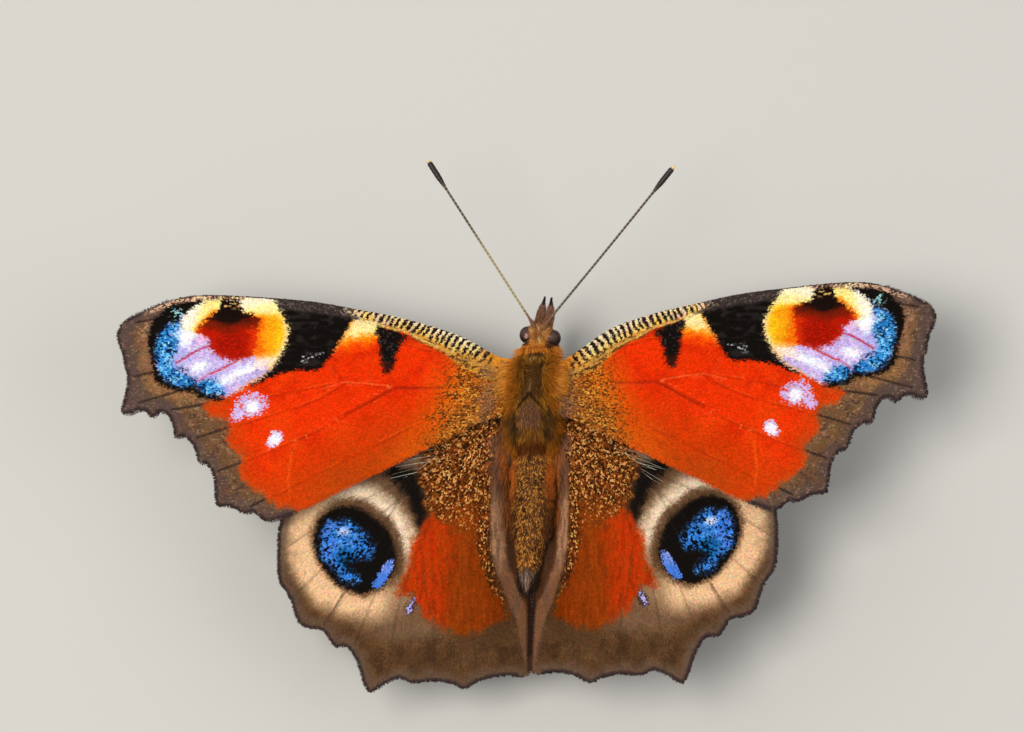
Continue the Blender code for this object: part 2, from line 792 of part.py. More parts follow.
def build():
    clear_scene()
    animal = new_collection("peacock_butterfly")
    cutters = new_collection("cutters")
    paint = {
        "wing": new_material("forewing_scales", COLOURS["wing"], 0.7),
        "hindwing": new_material("hindwing_scales", COLOURS["hindwing"], 0.75),
        "thorax": new_material("thorax_fur", COLOURS["thorax"], 0.9),
        "head": new_material("head_fur", COLOURS["head"], 0.9),
        "abdomen": new_material("abdomen_scales", COLOURS["abdomen"], 0.8),
        "eye": new_material("compound_eye", COLOURS["eye"], 0.25),
        "dark": new_material("dark_cuticle", COLOURS["dark"], 0.5),
        "leg": new_material("leg_scales", COLOURS["leg"], 0.7),
    }
    gap = JOINT_GAP

    thorax = loft("thorax", thorax_stations(), animal, paint["thorax"])
    fuse(thorax, [tegula("tegula_" + side, side, 0.0, animal) for side in ("left", "right")])
    around_thorax = loft("around_thorax", thorax_stations(gap), cutters, None)
    around_tegulae = [tegula("around_tegula_" + side, side, gap, cutters) for side in ("left", "right")]
    around_abdomen = loft("around_abdomen", abdomen_stations(gap), cutters, None)
    around_collar = loft("around_collar", collar_stations(gap), cutters, None)
    head_half_grown = HEAD_HALF + Vector((HEAD_GAP, HEAD_GAP, HEAD_GAP))
    around_head = ellipsoid("around_head", HEAD_CENTRE, head_half_grown, cutters, None, HEAD_YAW)
    around_eyes = []
    nodes = [thorax]

    abdomen = loft("abdomen", abdomen_stations(), animal, paint["abdomen"], ABDOMEN_SIDES)
    nodes.append(trim(abdomen, [around_thorax]))
    collar = loft("prothorax", collar_stations(), animal, paint["thorax"])
    nodes.append(trim(collar, [around_thorax, *around_tegulae]))

    for side in ("left", "right"):
        eye_centre = head_place(EYE_OFFSET, side)
        eye = ellipsoid("eye_" + side, eye_centre, EYE_HALF, animal, paint["eye"], HEAD_YAW, 20, 12)
        socket = EYE_HALF + Vector((HEAD_GAP, HEAD_GAP, HEAD_GAP))
        around_eyes.append(ellipsoid("around_eye_" + side, eye_centre, socket, cutters, None, HEAD_YAW, 20, 12))
        nodes.append(eye)

    head = ellipsoid("head", HEAD_CENTRE, HEAD_HALF, animal, paint["head"], HEAD_YAW, 28, 18)
    nodes.append(trim(head, [around_collar, around_thorax, *around_eyes]))

    mouth_parts = [around_head, around_collar, around_thorax, *around_eyes]
    for side in ("left", "right"):
        nodes.append(trim(antenna(side, animal, paint["dark"]), [around_head]))
        nodes.append(trim(palp(side, animal, paint["head"]), mouth_parts))
    nodes.append(trim(proboscis(animal, paint["dark"]), mouth_parts))

    fore_plan = wing_plan(FORE_FRONT_EDGE + FORE_MARGIN + FORE_REAR_EDGE, FORE_VEINS)
    hind_plan = wing_plan(HIND_FRONT_EDGE + HIND_MARGIN + HIND_REAR_EDGE, HIND_VEINS)
    for side in ("left", "right"):
        fore = wing(
            "forewing_" + side, side, fore_plan, fore_height, FORE_ROOT, FORE_POSE[side], animal, paint["wing"]
        )
        nodes.append(trim(fore, [around_thorax, around_collar, *around_tegulae]))
        hind = wing(
            "hindwing_" + side, side, hind_plan, hind_height, HIND_ROOT, HIND_POSE[side], animal, paint["hindwing"]
        )
        nodes.append(trim(hind, [around_thorax, around_abdomen]))

    for side in ("left", "right"):
        for kind in LEGS:
            limb = leg(kind, side, animal, paint["leg"])
            flatten_foot(limb)
            nodes.append(trim(limb, [around_thorax]))
        folded = foreleg(side, animal, paint["leg"])
        nodes.append(trim(folded, [around_thorax, around_collar, around_head]))

    for cutter in cutters.objects:
        cutter.hide_render = True
        cutter.display_type = "WIRE"
    root = bpy.data.objects.new("butterfly", None)
    animal.objects.link(root)
    for node in nodes:
        smooth(node)
        node.parent = root


build()
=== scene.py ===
"""Looks of a peacock butterfly that rests with its wings spread.

Lengths are millimetres in the body frame of the solids: +X is the animal's right, +Y is toward its head
and +Z is up. STANCE carries that frame to the world. Colours are sRGB numbers from 0 to 255.
"""

import math

import bmesh
import bpy
import numpy as np
from mathutils import Matrix, Vector
from mathutils.geometry import delaunay_2d_cdt


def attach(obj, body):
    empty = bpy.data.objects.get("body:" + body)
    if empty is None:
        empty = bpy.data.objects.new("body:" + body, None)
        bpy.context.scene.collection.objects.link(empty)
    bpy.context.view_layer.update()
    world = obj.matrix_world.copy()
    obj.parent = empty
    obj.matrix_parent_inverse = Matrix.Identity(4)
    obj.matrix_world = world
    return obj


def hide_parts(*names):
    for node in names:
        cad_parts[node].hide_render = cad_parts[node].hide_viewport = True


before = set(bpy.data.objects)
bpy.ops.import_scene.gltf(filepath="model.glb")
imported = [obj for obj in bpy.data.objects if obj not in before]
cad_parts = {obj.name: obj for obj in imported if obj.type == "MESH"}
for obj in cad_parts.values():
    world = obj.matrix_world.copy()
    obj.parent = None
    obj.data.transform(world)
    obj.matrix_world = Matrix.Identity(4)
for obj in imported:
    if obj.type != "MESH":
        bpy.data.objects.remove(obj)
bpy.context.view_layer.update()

MM = 0.001
STANCE = np.array((-0.06, 4.81, 7.2))
FLOOR = -STANCE[2]

# Camera: the photograph's viewing direction, distance and field.
CAMERA_LEAN_RIGHT = math.radians(9.0)
CAMERA_LEAN_BACK = math.radians(12.0)
CAMERA_DISTANCE = 350.0
CAMERA_TARGET = np.array((-1.335, 0.0, 0.0))
PHOTO_WIDTH_PX = 1024
PHOTO_MM_PER_PX = 0.079
SENSOR_MM = 36.0

# Wings: half the membrane's thickness, the relief of a vein and its half width.
MEMBRANE_HALF = 0.06
VEIN_RISE = 0.13
VEIN_HALF_WIDTH = 0.17
VEIN_FADE = 0.6
SKIN_GRID = 0.42
SKIN_RIM = 0.22

# Wing scales: distance between rows, between neighbours, length and lift of the tip.
SCALE_ROW = 0.115
SCALE_STEP = 0.098
SCALE_LENGTH = 0.23
SCALE_WIDTH = 0.125
SCALE_LIFT = 0.035
UNDER_COARSER = 1.36
PATCH = 0.003

FORE_FRONT_EDGE = (
    (-1.5, 0.45), (-0.2, 0.85), (1.0, 1.5), (2.0, 2.15), (3.2, 2.85), (4.8, 3.55), (7.8, 4.4), (11.0, 5.05), (14.2, 5.7),
    (17.3, 6.05), (20.5, 6.25), (23.7, 6.3), (25.5, 6.05), (27.3, 5.35), (28.6, 4.75), (29.55, 4.15), (30.0, 3.3),
)
FORE_MARGIN = (
    (29.95, 2.6), (29.55, 1.6), (29.4, 0.6), (29.15, -0.1), (29.25, -1.5), (29.55, -3.15), (29.0, -3.25),
    (28.3, -2.95), (27.7, -3.0), (27.2, -3.5), (26.7, -3.1), (26.0, -3.25), (25.5, -4.1), (25.25, -5.15),
    (24.7, -5.05), (24.05, -5.5), (23.65, -6.3), (23.4, -7.15), (22.8, -7.3), (22.25, -8.2), (22.1, -9.3),
    (21.95, -10.55), (21.4, -10.65), (20.7, -10.75), (19.75, -11.25), (19.1, -11.1), (17.95, -11.85),
)
FORE_REAR_EDGE = (
    (15.5, -10.95), (12.6, -9.55), (9.4, -7.9), (6.3, -6.35), (3.0, -4.75), (1.0, -3.9), (-1.5, -2.9),
)
HIND_FRONT_EDGE = (
    (-1.5, 0.3), (0.8, 0.5), (4.0, -0.2), (8.0, -1.3), (12.0, -2.6), (15.0, -4.0), (16.9, -5.9),
)
HIND_MARGIN = (
    (17.5, -7.6), (17.65, -9.7), (17.5, -12.1), (16.65, -13.5), (15.95, -15.45), (15.2, -15.85), (14.1, -16.05),
    (13.1, -17.3), (12.2, -17.35), (11.4, -18.5), (10.45, -20.9), (9.25, -20.3), (8.1, -19.85), (7.15, -20.2),
    (5.4, -20.05), (3.9, -20.3), (3.05, -20.7), (1.9, -20.1), (-0.2, -19.6), (-1.9, -19.5),
)
# The inner edge dips under the abdomen's flank, so that no gap shows beside the body.
HIND_REAR_EDGE = (
    (-2.12, -17.5), (-2.12, -15.0), (-2.05, -13.7), (-1.9, -12.5), (-1.6, -11.0), (-1.3, -9.6), (-1.05, -7.5),
    (-1.0, -4.0), (-1.5, -2.6),
)
OUTLINES = {
    "fore": FORE_FRONT_EDGE + FORE_MARGIN + FORE_REAR_EDGE,
    "hind": HIND_FRONT_EDGE + HIND_MARGIN + HIND_REAR_EDGE,
}
VEINS = {
    "fore": (
        ((0.0, 0.45), (3.5, 2.0), (8.0, 3.6), (12.5, 4.75), (16.0, 5.4)),
        ((0.0, 0.1), (4.0, 1.35), (8.5, 2.5), (12.5, 2.95), (18.0, 4.1), (24.0, 4.9), (28.6, 4.1)),
        ((9.9, 2.75), (14.5, 4.2), (19.5, 5.6)),
        ((12.5, 2.95), (13.1, 1.9), (17.0, 1.9), (22.0, 1.2), (28.6, -0.3)),
        ((13.1, 1.9), (13.2, 0.7), (17.5, 0.4), (22.5, -0.8), (28.3, -2.4)),
        ((0.0, -0.8), (4.0, -1.1), (8.0, -1.2), (11.9, -0.8), (14.5, -1.2), (19.0, -2.0), (25.6, -2.95)),
        ((13.2, 0.7), (12.8, -0.3), (11.9, -0.8)),
        ((11.9, -0.8), (14.1, -2.1), (18.5, -3.6), (23.6, -5.2)),
        ((8.0, -1.2), (9.8, -2.2), (13.5, -4.3), (17.5, -6.1), (21.8, -7.85)),
        ((0.0, -1.7), (2.6, -2.6), (6.0, -4.0), (11.0, -6.5), (15.5, -8.8), (19.3, -10.7)),
    ),
    "hind": (
        ((0.0, -0.4), (2.5, -1.3), (7.0, -2.5), (11.5, -3.9), (16.0, -6.2)),
        ((2.5, -1.3), (6.0, -3.4), (10.5, -5.6), (14.0, -7.6), (17.1, -9.6)),
        ((6.0, -3.4), (8.2, -5.8), (11.5, -8.6), (14.2, -11.3), (16.2, -13.2)),
        ((8.2, -5.8), (9.0, -7.3), (11.2, -11.0), (13.7, -15.6)),
        ((9.0, -7.3), (8.2, -8.6), (9.6, -12.2), (11.6, -17.2)),
        ((0.6, -2.1), (3.2, -4.6), (5.6, -7.6), (7.2, -11.0), (8.4, -15.4), (9.1, -19.7)),
        ((5.6, -7.6), (5.6, -11.0), (5.5, -15.0), (5.35, -19.6)),
        ((8.2, -8.6), (6.9, -8.9), (5.9, -8.2)),
        ((0.6, -2.1), (1.9, -5.5), (2.6, -10.0), (2.5, -15.0), (2.0, -19.6)),
    ),
}
WING_ROOT = {"fore": (2.4, -0.5, 0.25), "hind": (2.2, -4.6, -0.9)}
# Dihedral, incidence and sweep in degrees.
WING_POSE = {
    ("fore", "left"): (9.5, 0.5, 0.0),
    ("fore", "right"): (9.2, -5.0, -1.5),
    ("hind", "left"): (6.7, 0.0, 0.0),
    ("hind", "right"): (7.5, -4.5, -0.5),
}
# How far the front edge's root lies ahead of the shared plan, each side.
FRONT_ROOT_RISE = {"left": 0.3, "right": -0.35}
# The point that rows of scales circle, and the unwrap's corner and size in the wing's plan.
SCALE_POLE = {"fore": (-4.0, -0.6), "hind": (-1.5, 3.0)}
UNWRAP_CORNER = {"fore": (-2.5, -12.5), "hind": (-3.0, -21.5)}
UNWRAP_SIZE = {"fore": 33.5, "hind": 23.0}

BODY_LINE = ((-19.0, -0.45), (-14.5, -0.1), (-10.6, 0.1), (-6.0, 0.3), (-2.5, 0.4), (0.5, 0.65), (2.4, 0.93))
HEAD_CENTRE = np.array((0.9, 2.5, -0.35))
HEAD_HALF = np.array((1.02, 1.05, 1.05))
HEAD_YAW = math.radians(-9.5)
EYE_HALF = np.array((0.62, 0.68, 0.78))
EYE_OFFSET = np.array((1.04, -0.14, 0.05))
BODY_UNWRAP = (-19.5, 24.5)

SIDES = ("left", "right")


def step(low, high, value):
    """0 at low, 1 at high and a smooth step between. Low may be above high."""
    t = np.clip((value - low) / (high - low), 0.0, 1.0)
    return t * t * (3.0 - 2.0 * t)


def side_sign(side):
    return -1.0 if side == "left" else 1.0


def body_line(y):
    places, values = zip(*BODY_LINE)
    return np.interp(y, places, values)


def head_place(offset, side=None):
    """A point given in the head's own frame, in the body frame."""
    local = np.array(offset, float)
    if side:
        local[0] *= side_sign(side)
    cosine, sine = math.cos(HEAD_YAW), math.sin(HEAD_YAW)
    turned = np.array((local[0] * cosine - local[1] * sine, local[0] * sine + local[1] * cosine, local[2]))
    return HEAD_CENTRE + turned


def smooth_line(points, pieces, closed=False):
    """Points on a Catmull-Rom curve, with this many pieces between each two of the given points."""
    points = np.array(points, float)
    count = len(points)
    path = []
    for k in range(count if closed else count - 1):
        p1, p2 = points[k], points[(k + 1) % count]
        p0 = points[k - 1] if k > 0 or closed else 2 * p1 - p2
        p3 = points[(k + 2) % count] if k + 2 < count or closed else 2 * p2 - p1
        reach = np.linalg.norm(p2 - p1)
        m1 = (p2 - p0) * reach / (reach + np.linalg.norm(p1 - p0) + 1e-9)
        m2 = (p3 - p1) * reach / (reach + np.linalg.norm(p3 - p2) + 1e-9)
        for t in np.arange(pieces) / pieces:
            a = 2 * t**3 - 3 * t**2 + 1
            b = t**3 - 2 * t**2 + t
            c = 3 * t**2 - 2 * t**3
            d = t**3 - t**2
            path.append(p1 * a + m1 * b + p2 * c + m2 * d)
    if not closed:
        path.append(points[-1])
    return np.array(path)


def lattice(ix, iy, seed):
    """A repeatable random number from 0 to 1 for each whole-number place."""
    h = (ix * 374761393 + iy * 668265263 + seed * 974634777) & 0xFFFFFFFF
    h = ((h ^ (h >> 13)) * 1274126177) & 0xFFFFFFFF
    return ((h ^ (h >> 16)) & 0xFFFFFF) / 0xFFFFFF


def noise(u, v, size, seed):
    """Smooth random values from 0 to 1 with features of the given size."""
    x, y = u / size, v / size
    ix, iy = np.floor(x).astype(np.int64), np.floor(y).astype(np.int64)
    fx, fy = step(0, 1, x - ix), step(0, 1, y - iy)
    low = lattice(ix, iy, seed) * (1 - fx) + lattice(ix + 1, iy, seed) * fx
    high = lattice(ix, iy + 1, seed) * (1 - fx) + lattice(ix + 1, iy + 1, seed) * fx
    return low * (1 - fy) + high * fy


def cloud(u, v, size, seed):
    """Noise with finer noise on it."""
    total = noise(u, v, size, seed) + 0.5 * noise(u, v, size / 2, seed + 1) + 0.25 * noise(u, v, size / 4, seed + 2)
    return total / 1.75


def line_distance(u, v, line):
    """Distance from each place to a line of points, and how far along the line the nearest point is."""
    line = np.asarray(line, float)
    best = np.full(np.shape(u), np.inf)
    share = np.zeros(np.shape(u))
    last = len(line) - 1
    for k, ((ax, ay), (bx, by)) in enumerate(zip(line, line[1:])):
        ex, ey = bx - ax, by - ay
        t = np.clip(((u - ax) * ex + (v - ay) * ey) / (ex * ex + ey * ey + 1e-12), 0, 1)
        d = np.hypot(u - ax - t * ex, v - ay - t * ey)
        nearer = d < best
        best = np.where(nearer, d, best)
        share = np.where(nearer, (k + t) / last, share)
    return best, share


def depth_inside(u, v, outline):
    """Distance to a closed outline, positive inside it and negative outside."""
    outline = np.asarray(outline, float)
    ring = np.vstack((outline, outline[:1]))
    best, _ = line_distance(u, v, ring)
    odd = np.zeros(np.shape(u), bool)
    for (ax, ay), (bx, by) in zip(ring, ring[1:]):
        if ay == by:
            continue
        crosses = (ay > v) != (by > v)
        odd ^= crosses & (u < (bx - ax) * (v - ay) / (by - ay) + ax)
    return np.where(odd, best, -best)


def linear(colour):
    """sRGB from 0 to 255 as the linear numbers that shaders use."""
    c = np.clip(np.asarray(colour, float) / 255.0, 0.0, 1.0)
    return np.where(c <= 0.04045, c / 12.92, ((c + 0.055) / 1.055) ** 2.4)


# How far the edge between two colours strays from scale to scale.
DITHER = 0.3


class Canvas:
    """Colours at many places of a plan, painted layer over layer."""

    def __init__(self, u, v, colour, grain=None):
        self.u = u
        self.v = v
        self.dither = np.zeros(len(u)) if grain is None else DITHER * (grain - 0.5)
        self.rgb = np.tile(np.array(colour, float), (len(u), 1))

    def over(self, colour, amount):
        self.rgb += (np.asarray(colour, float) - self.rgb) * np.asarray(amount)[:, None]

    def mask(self, outline, soft=0.1, ragged=0.12, size=0.3, seed=1, smooth=4):
        """1 inside an outline, 0 outside, across a soft and ragged edge."""
        if smooth:
            outline = smooth_line(outline, smooth, True)
        depth = depth_inside(self.u, self.v, outline)
        depth = depth + ragged * (2 * cloud(self.u, self.v, size, seed) - 1) + self.dither
        return step(-soft, soft, depth)

    def shape(self, outline, colour, soft=0.1, ragged=0.12, size=0.3, seed=1, strength=1.0):
        self.over(colour, strength * self.mask(outline, soft, ragged, size, seed))

    def spot(self, centre, radii, turn, colour, soft=0.3, ragged=0.1, size=0.3, seed=1, strength=1.0):
        """An ellipse whose long axis is turned by an angle in degrees."""
        a = math.radians(turn)
        du, dv = self.u - centre[0], self.v - centre[1]
        x = (du * math.cos(a) + dv * math.sin(a)) / radii[0]
        y = (dv * math.cos(a) - du * math.sin(a)) / radii[1]
        rough = ragged * (2 * cloud(self.u, self.v, size, seed) - 1) + self.dither
        depth = 1.0 - np.hypot(x, y) + rough / min(radii)
        self.over(colour, strength * step(-soft, soft, depth))

    def stroke(self, line, half_width, colour, strength=1.0, taper=0.0, soft=0.6):
        distance, share = line_distance(self.u, self.v, line)
        width = half_width * (1.0 - taper * share) + 0.3 * self.dither * min(1.0, half_width * 4)
        width = np.maximum(width, 0.02)
        self.over(colour, strength * step(1.0 + soft, 1.0 - soft, distance / width))


def heights(kind, u, v):
    """Height of a wing's middle surface over its plan."""
    if kind == "fore":
        droop = -0.55 * step(1.0, 6.5, v)
        return droop - 0.6 * (u / 30.0) ** 2 + 0.12 * np.sin(0.55 * u - 0.8 * v)
    fold = (1.5 - 0.6 * step(13.0, 19.0, -v)) * step(0.0, 2.4, 1.5 - u) * step(2.6, 5.0, -v)
    return -0.5 * (np.hypot(u, v) / 22.0) ** 2 + 0.1 * np.sin(0.7 * u + 0.25 * v) - fold


def vein_relief(kind, u, v):
    """How far the veins rise over the membrane."""
    rise = np.zeros(len(u))
    for vein in VEINS[kind]:
        distance, share = line_distance(u, v, smooth_line(vein, 3))
        crest = VEIN_RISE * (1.0 - VEIN_FADE * share) * np.exp(-((distance / VEIN_HALF_WIDTH) ** 2))
        rise = np.maximum(rise, crest)
    return rise


class Wing:
    """Places of one wing: its plan, lifted to the height surface and turned about the wing's root."""

    def __init__(self, kind, side):
        self.kind = kind
        self.side = side
        self.sign = side_sign(side)
        dihedral, incidence, sweep = (math.radians(angle) for angle in WING_POSE[kind, side])
        outer = np.array((self.sign * math.cos(dihedral), 0.0, math.sin(dihedral)))
        fore = np.array((0.0, math.cos(incidence), math.sin(incidence)))
        fore = fore - outer * fore.dot(outer)
        fore /= np.linalg.norm(fore)
        self.out = outer * math.cos(sweep) + fore * math.sin(sweep)
        self.ahead = fore * math.cos(sweep) - outer * math.sin(sweep)
        self.up = np.cross(outer, fore) * self.sign
        self.root = np.array(WING_ROOT[kind]) * (self.sign, 1.0, 1.0)
        self.outline = smooth_line(OUTLINES[kind], 8, True)

    def place(self, u, v, lift):
        rise = heights(self.kind, u, v) + lift
        if self.kind == "fore":
            v = v + FRONT_ROOT_RISE[self.side] * step(5.0, 1.0, u) * step(-1.5, 0.5, v)
        return self.root + np.outer(u, self.out) + np.outer(v, self.ahead) + np.outer(rise, self.up)

    def unwrap(self, u, v):
        corner = UNWRAP_CORNER[self.kind]
        size = UNWRAP_SIZE[self.kind]
        return np.column_stack(((u - corner[0]) / size, (v - corner[1]) / size))


def new_piece(name, points, faces, material, smooth=True):
    """A mesh object from arrays of points in the body frame and faces that all have as many corners."""
    mesh = bpy.data.meshes.new(name)
    faces = np.asarray(faces, np.int32)
    mesh.vertices.add(len(points))
    mesh.vertices.foreach_set("co", ((points + STANCE) * MM).astype(np.float32).ravel())
    mesh.loops.add(faces.size)
    mesh.loops.foreach_set("vertex_index", faces.ravel())
    mesh.polygons.add(len(faces))
    mesh.polygons.foreach_set("loop_start", np.arange(0, faces.size, faces.shape[1], dtype=np.int32))
    mesh.update(calc_edges=True)
    mesh.validate()
    if smooth:
        mesh.shade_smooth()
    mesh.materials.append(material)
    piece = bpy.data.objects.new(name, mesh)
    bpy.context.scene.collection.objects.link(piece)
    return piece


def set_tints(piece, rgb):
    """Stores sRGB colours on the mesh's points, for the materials to read."""
    layer = piece.data.color_attributes.new(name="tint", type="FLOAT_COLOR", domain="POINT")
    rgba = np.ones((len(rgb), 4), np.float32)
    rgba[:, :3] = linear(rgb)
    layer.data.foreach_set("color", rgba.ravel())


def set_unwrap(piece, places, faces):
    """Gives each corner of each face its place on the bake map."""
    layer = piece.data.uv_layers.new(name="OFBake")
    corners = places[np.asarray(faces).ravel()]
    layer.uv.foreach_set("vector", corners.astype(np.float32).ravel())


def finish_piece(piece, slot, *nodes):
    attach(piece, "root")
    if nodes:
        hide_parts(*nodes)


# Wing patterns, upper side. Outlines are in the wing's plan.

BLOTCH = (
    (11.45, 4.5), (11.6, 3.9), (12.3, 2.7), (13.1, 1.35), (13.75, 0.45), (14.3, 0.12), (15.6, 0.12), (16.9, -0.1),
    (18.2, -0.62), (19.0, -0.95), (19.6, -0.9), (18.6, 0.3), (17.2, 2.0), (17.2, 3.4), (17.6, 4.8), (18.3, 5.8),
    (18.1, 6.2), (15.0, 5.6),
)
TRIANGLE = (
    (7.35, 2.85), (8.1, 3.25), (9.1, 3.6), (9.75, 3.8), (9.8, 2.9), (9.6, 2.3), (9.45, 1.6), (9.35, 0.8),
    (9.2, 0.2), (8.85, -0.15), (8.5, 0.2), (8.35, 0.8), (8.2, 1.4), (7.95, 2.0), (7.65, 2.4),
)
EYESPOT = (
    (17.95, 6.2), (17.3, 5.3), (16.85, 4.5), (16.5, 3.6), (16.5, 2.7), (16.75, 1.9), (17.15, 1.1), (17.55, 0.5),
    (18.0, 0.0), (18.6, -0.45), (19.3, -0.85), (20.0, -1.3), (20.8, -1.75), (21.5, -2.0), (22.1, -1.9),
    (22.8, -1.85), (23.3, -1.55), (23.9, -1.12), (24.8, -1.2), (25.6, -1.0), (26.2, -0.6), (26.7, 0.1),
    (26.95, 1.0), (27.0, 1.9), (26.85, 2.8), (26.55, 3.5), (26.0, 4.0), (25.2, 4.3), (24.7, 4.7), (24.3, 5.2),
    (23.6, 5.6), (22.9, 5.85), (22.0, 6.0), (20.5, 6.2), (19.2, 6.4),
)
CRESCENT = (
    (21.4, -2.1), (22.4, -2.25), (23.3, -2.05), (24.0, -1.6), (25.0, -1.5), (26.0, -1.25), (26.8, -0.75),
    (27.15, -0.1), (27.25, 0.8), (27.5, 1.8), (27.62, 2.8), (27.45, 3.8), (26.95, 4.7), (26.2, 5.4), (25.3, 5.78),
    (24.2, 5.9), (23.4, 5.9), (23.2, 5.0), (24.5, 3.0), (24.5, 0.0),
)
YELLOW_SIDE = (
    (17.5, 6.5), (21.0, 6.5), (21.0, 5.9), (20.9, 5.4), (20.9, 5.0), (20.6, 4.6), (19.9, 4.3), (19.4, 4.0),
    (19.3, 3.6), (19.4, 2.8), (19.5, 2.0), (19.6, 1.5), (18.9, 1.0), (18.3, 0.75), (18.1, 0.3), (17.2, -0.3),
    (15.9, 1.0), (15.9, 5.0),
)
RED_CENTRE = (
    (18.85, 4.3), (19.6, 4.7), (20.3, 4.85), (21.3, 5.0), (22.2, 4.75), (22.9, 4.3), (23.45, 3.8), (23.75, 3.3),
    (23.3, 3.05), (22.85, 2.7), (22.75, 2.2), (22.4, 1.7), (22.0, 1.3), (21.3, 1.1), (20.8, 0.95), (20.2, 1.05),
    (19.6, 1.2), (19.2, 1.6), (19.0, 2.6), (18.9, 3.5),
)
NOTCH = (
    (20.3, 5.7), (21.0, 6.1), (21.7, 6.1), (21.9, 5.7), (22.0, 5.2), (22.2, 4.7), (21.9, 4.2), (21.2, 4.05),
    (20.5, 4.2), (20.1, 4.75), (20.4, 5.15),
)
CREAM_SIDE = (
    (21.4, 6.3), (22.9, 6.0), (23.7, 5.65), (24.3, 5.2), (24.6, 4.7), (24.9, 4.35), (24.9, 3.7), (24.3, 3.4),
    (23.7, 3.1), (23.1, 3.5), (22.6, 4.0), (21.9, 4.4), (21.4, 5.1),
)
WHITE_PATCH = (
    (23.8, 3.4), (24.4, 3.55), (25.1, 3.6), (25.1, 3.0), (25.05, 2.3), (24.8, 1.95), (24.3, 2.3), (23.9, 2.7),
    (23.55, 3.0),
)
BLUE_CRESCENT = (
    (24.4, 4.35), (25.2, 4.3), (26.0, 4.0), (26.6, 3.5), (26.9, 2.8), (27.05, 1.9), (27.0, 1.0), (26.75, 0.1),
    (26.2, -0.65), (25.6, -1.05), (24.8, -1.25), (23.9, -1.15), (23.7, -0.7), (24.3, -0.25), (25.0, 0.0),
    (25.4, 0.35), (25.65, 0.9), (25.4, 1.6), (25.1, 2.2), (25.05, 2.9), (25.4, 3.3), (24.9, 3.75), (24.6, 4.0),
)
BLUE_FOOT = (
    (21.5, -2.0), (22.2, -1.95), (22.9, -1.9), (23.4, -1.6), (23.75, -1.0), (23.3, -0.6), (22.5, -0.55),
    (22.0, -0.95), (21.5, -1.4),
)
FORE_BROWN = (
    (30.5, 7.0), (22.0, 7.0), (22.0, 5.2), (25.0, 5.2), (26.6, 4.2), (27.0, 2.6), (26.9, 0.9), (26.5, -0.4),
    (25.4, -1.0), (24.0, -1.1), (22.9, -1.7), (21.9, -2.05), (22.6, -2.45), (23.0, -2.7), (23.0, -3.1),
    (22.4, -3.5), (21.4, -3.9), (21.2, -4.6), (21.3, -5.4), (20.7, -6.2), (20.1, -6.7), (20.3, -7.6),
    (20.1, -8.5), (19.4, -9.1), (18.3, -9.8), (17.3, -10.6), (16.2, -11.0), (15.0, -11.2), (17.0, -13.0),
    (31.0, -12.5), (32.0, 0.0),
)
LILAC_SPOT = (
    (18.4, -1.9), (19.0, -1.5), (19.7, -1.6), (20.3, -2.0), (20.7, -2.7), (20.95, -3.4), (20.8, -3.9), (20.1, -3.8),
    (19.4, -3.7), (18.8, -3.45), (18.2, -2.9), (18.05, -2.35),
)
WHITE_SPOT = ((17.0, -4.8), (17.6, -4.75), (17.9, -5.2), (18.1, -5.9), (17.7, -6.1), (17.2, -5.75), (16.8, -5.2))
ZEBRA_FOOT = (
    (0.0, 0.0), (1.0, 0.3), (2.0, 0.75), (3.0, 1.15), (4.0, 1.7), (5.0, 2.25), (6.0, 2.75), (7.0, 3.15),
    (8.0, 3.42), (9.0, 3.7), (10.3, 4.15), (11.5, 4.55),
)
ZEBRA_PERIOD = 0.46
ZEBRA_SLANT = 0.52
# The markings near the body lie a little further out on the right wing than on the left.
BASE_SHIFT = {"left": 0.28, "right": -0.28}

BLACK = (17, 13, 11)
DARK_BROWN = (58, 44, 38)
RED = (230, 50, 2)
LILAC = (196, 168, 224)
WHITE = (246, 247, 255)
BLUE = (52, 144, 216)
GOLD = (226, 163, 84)
CREAM = (252, 236, 176)
MARGIN_BROWN = (110, 78, 52)
TAN = (186, 146, 110)


def paint_veins(canvas, kind, colour, strength, half_width=0.09):
    for vein in VEINS[kind]:
        canvas.stroke(smooth_line(vein, 3), half_width, colour, strength)


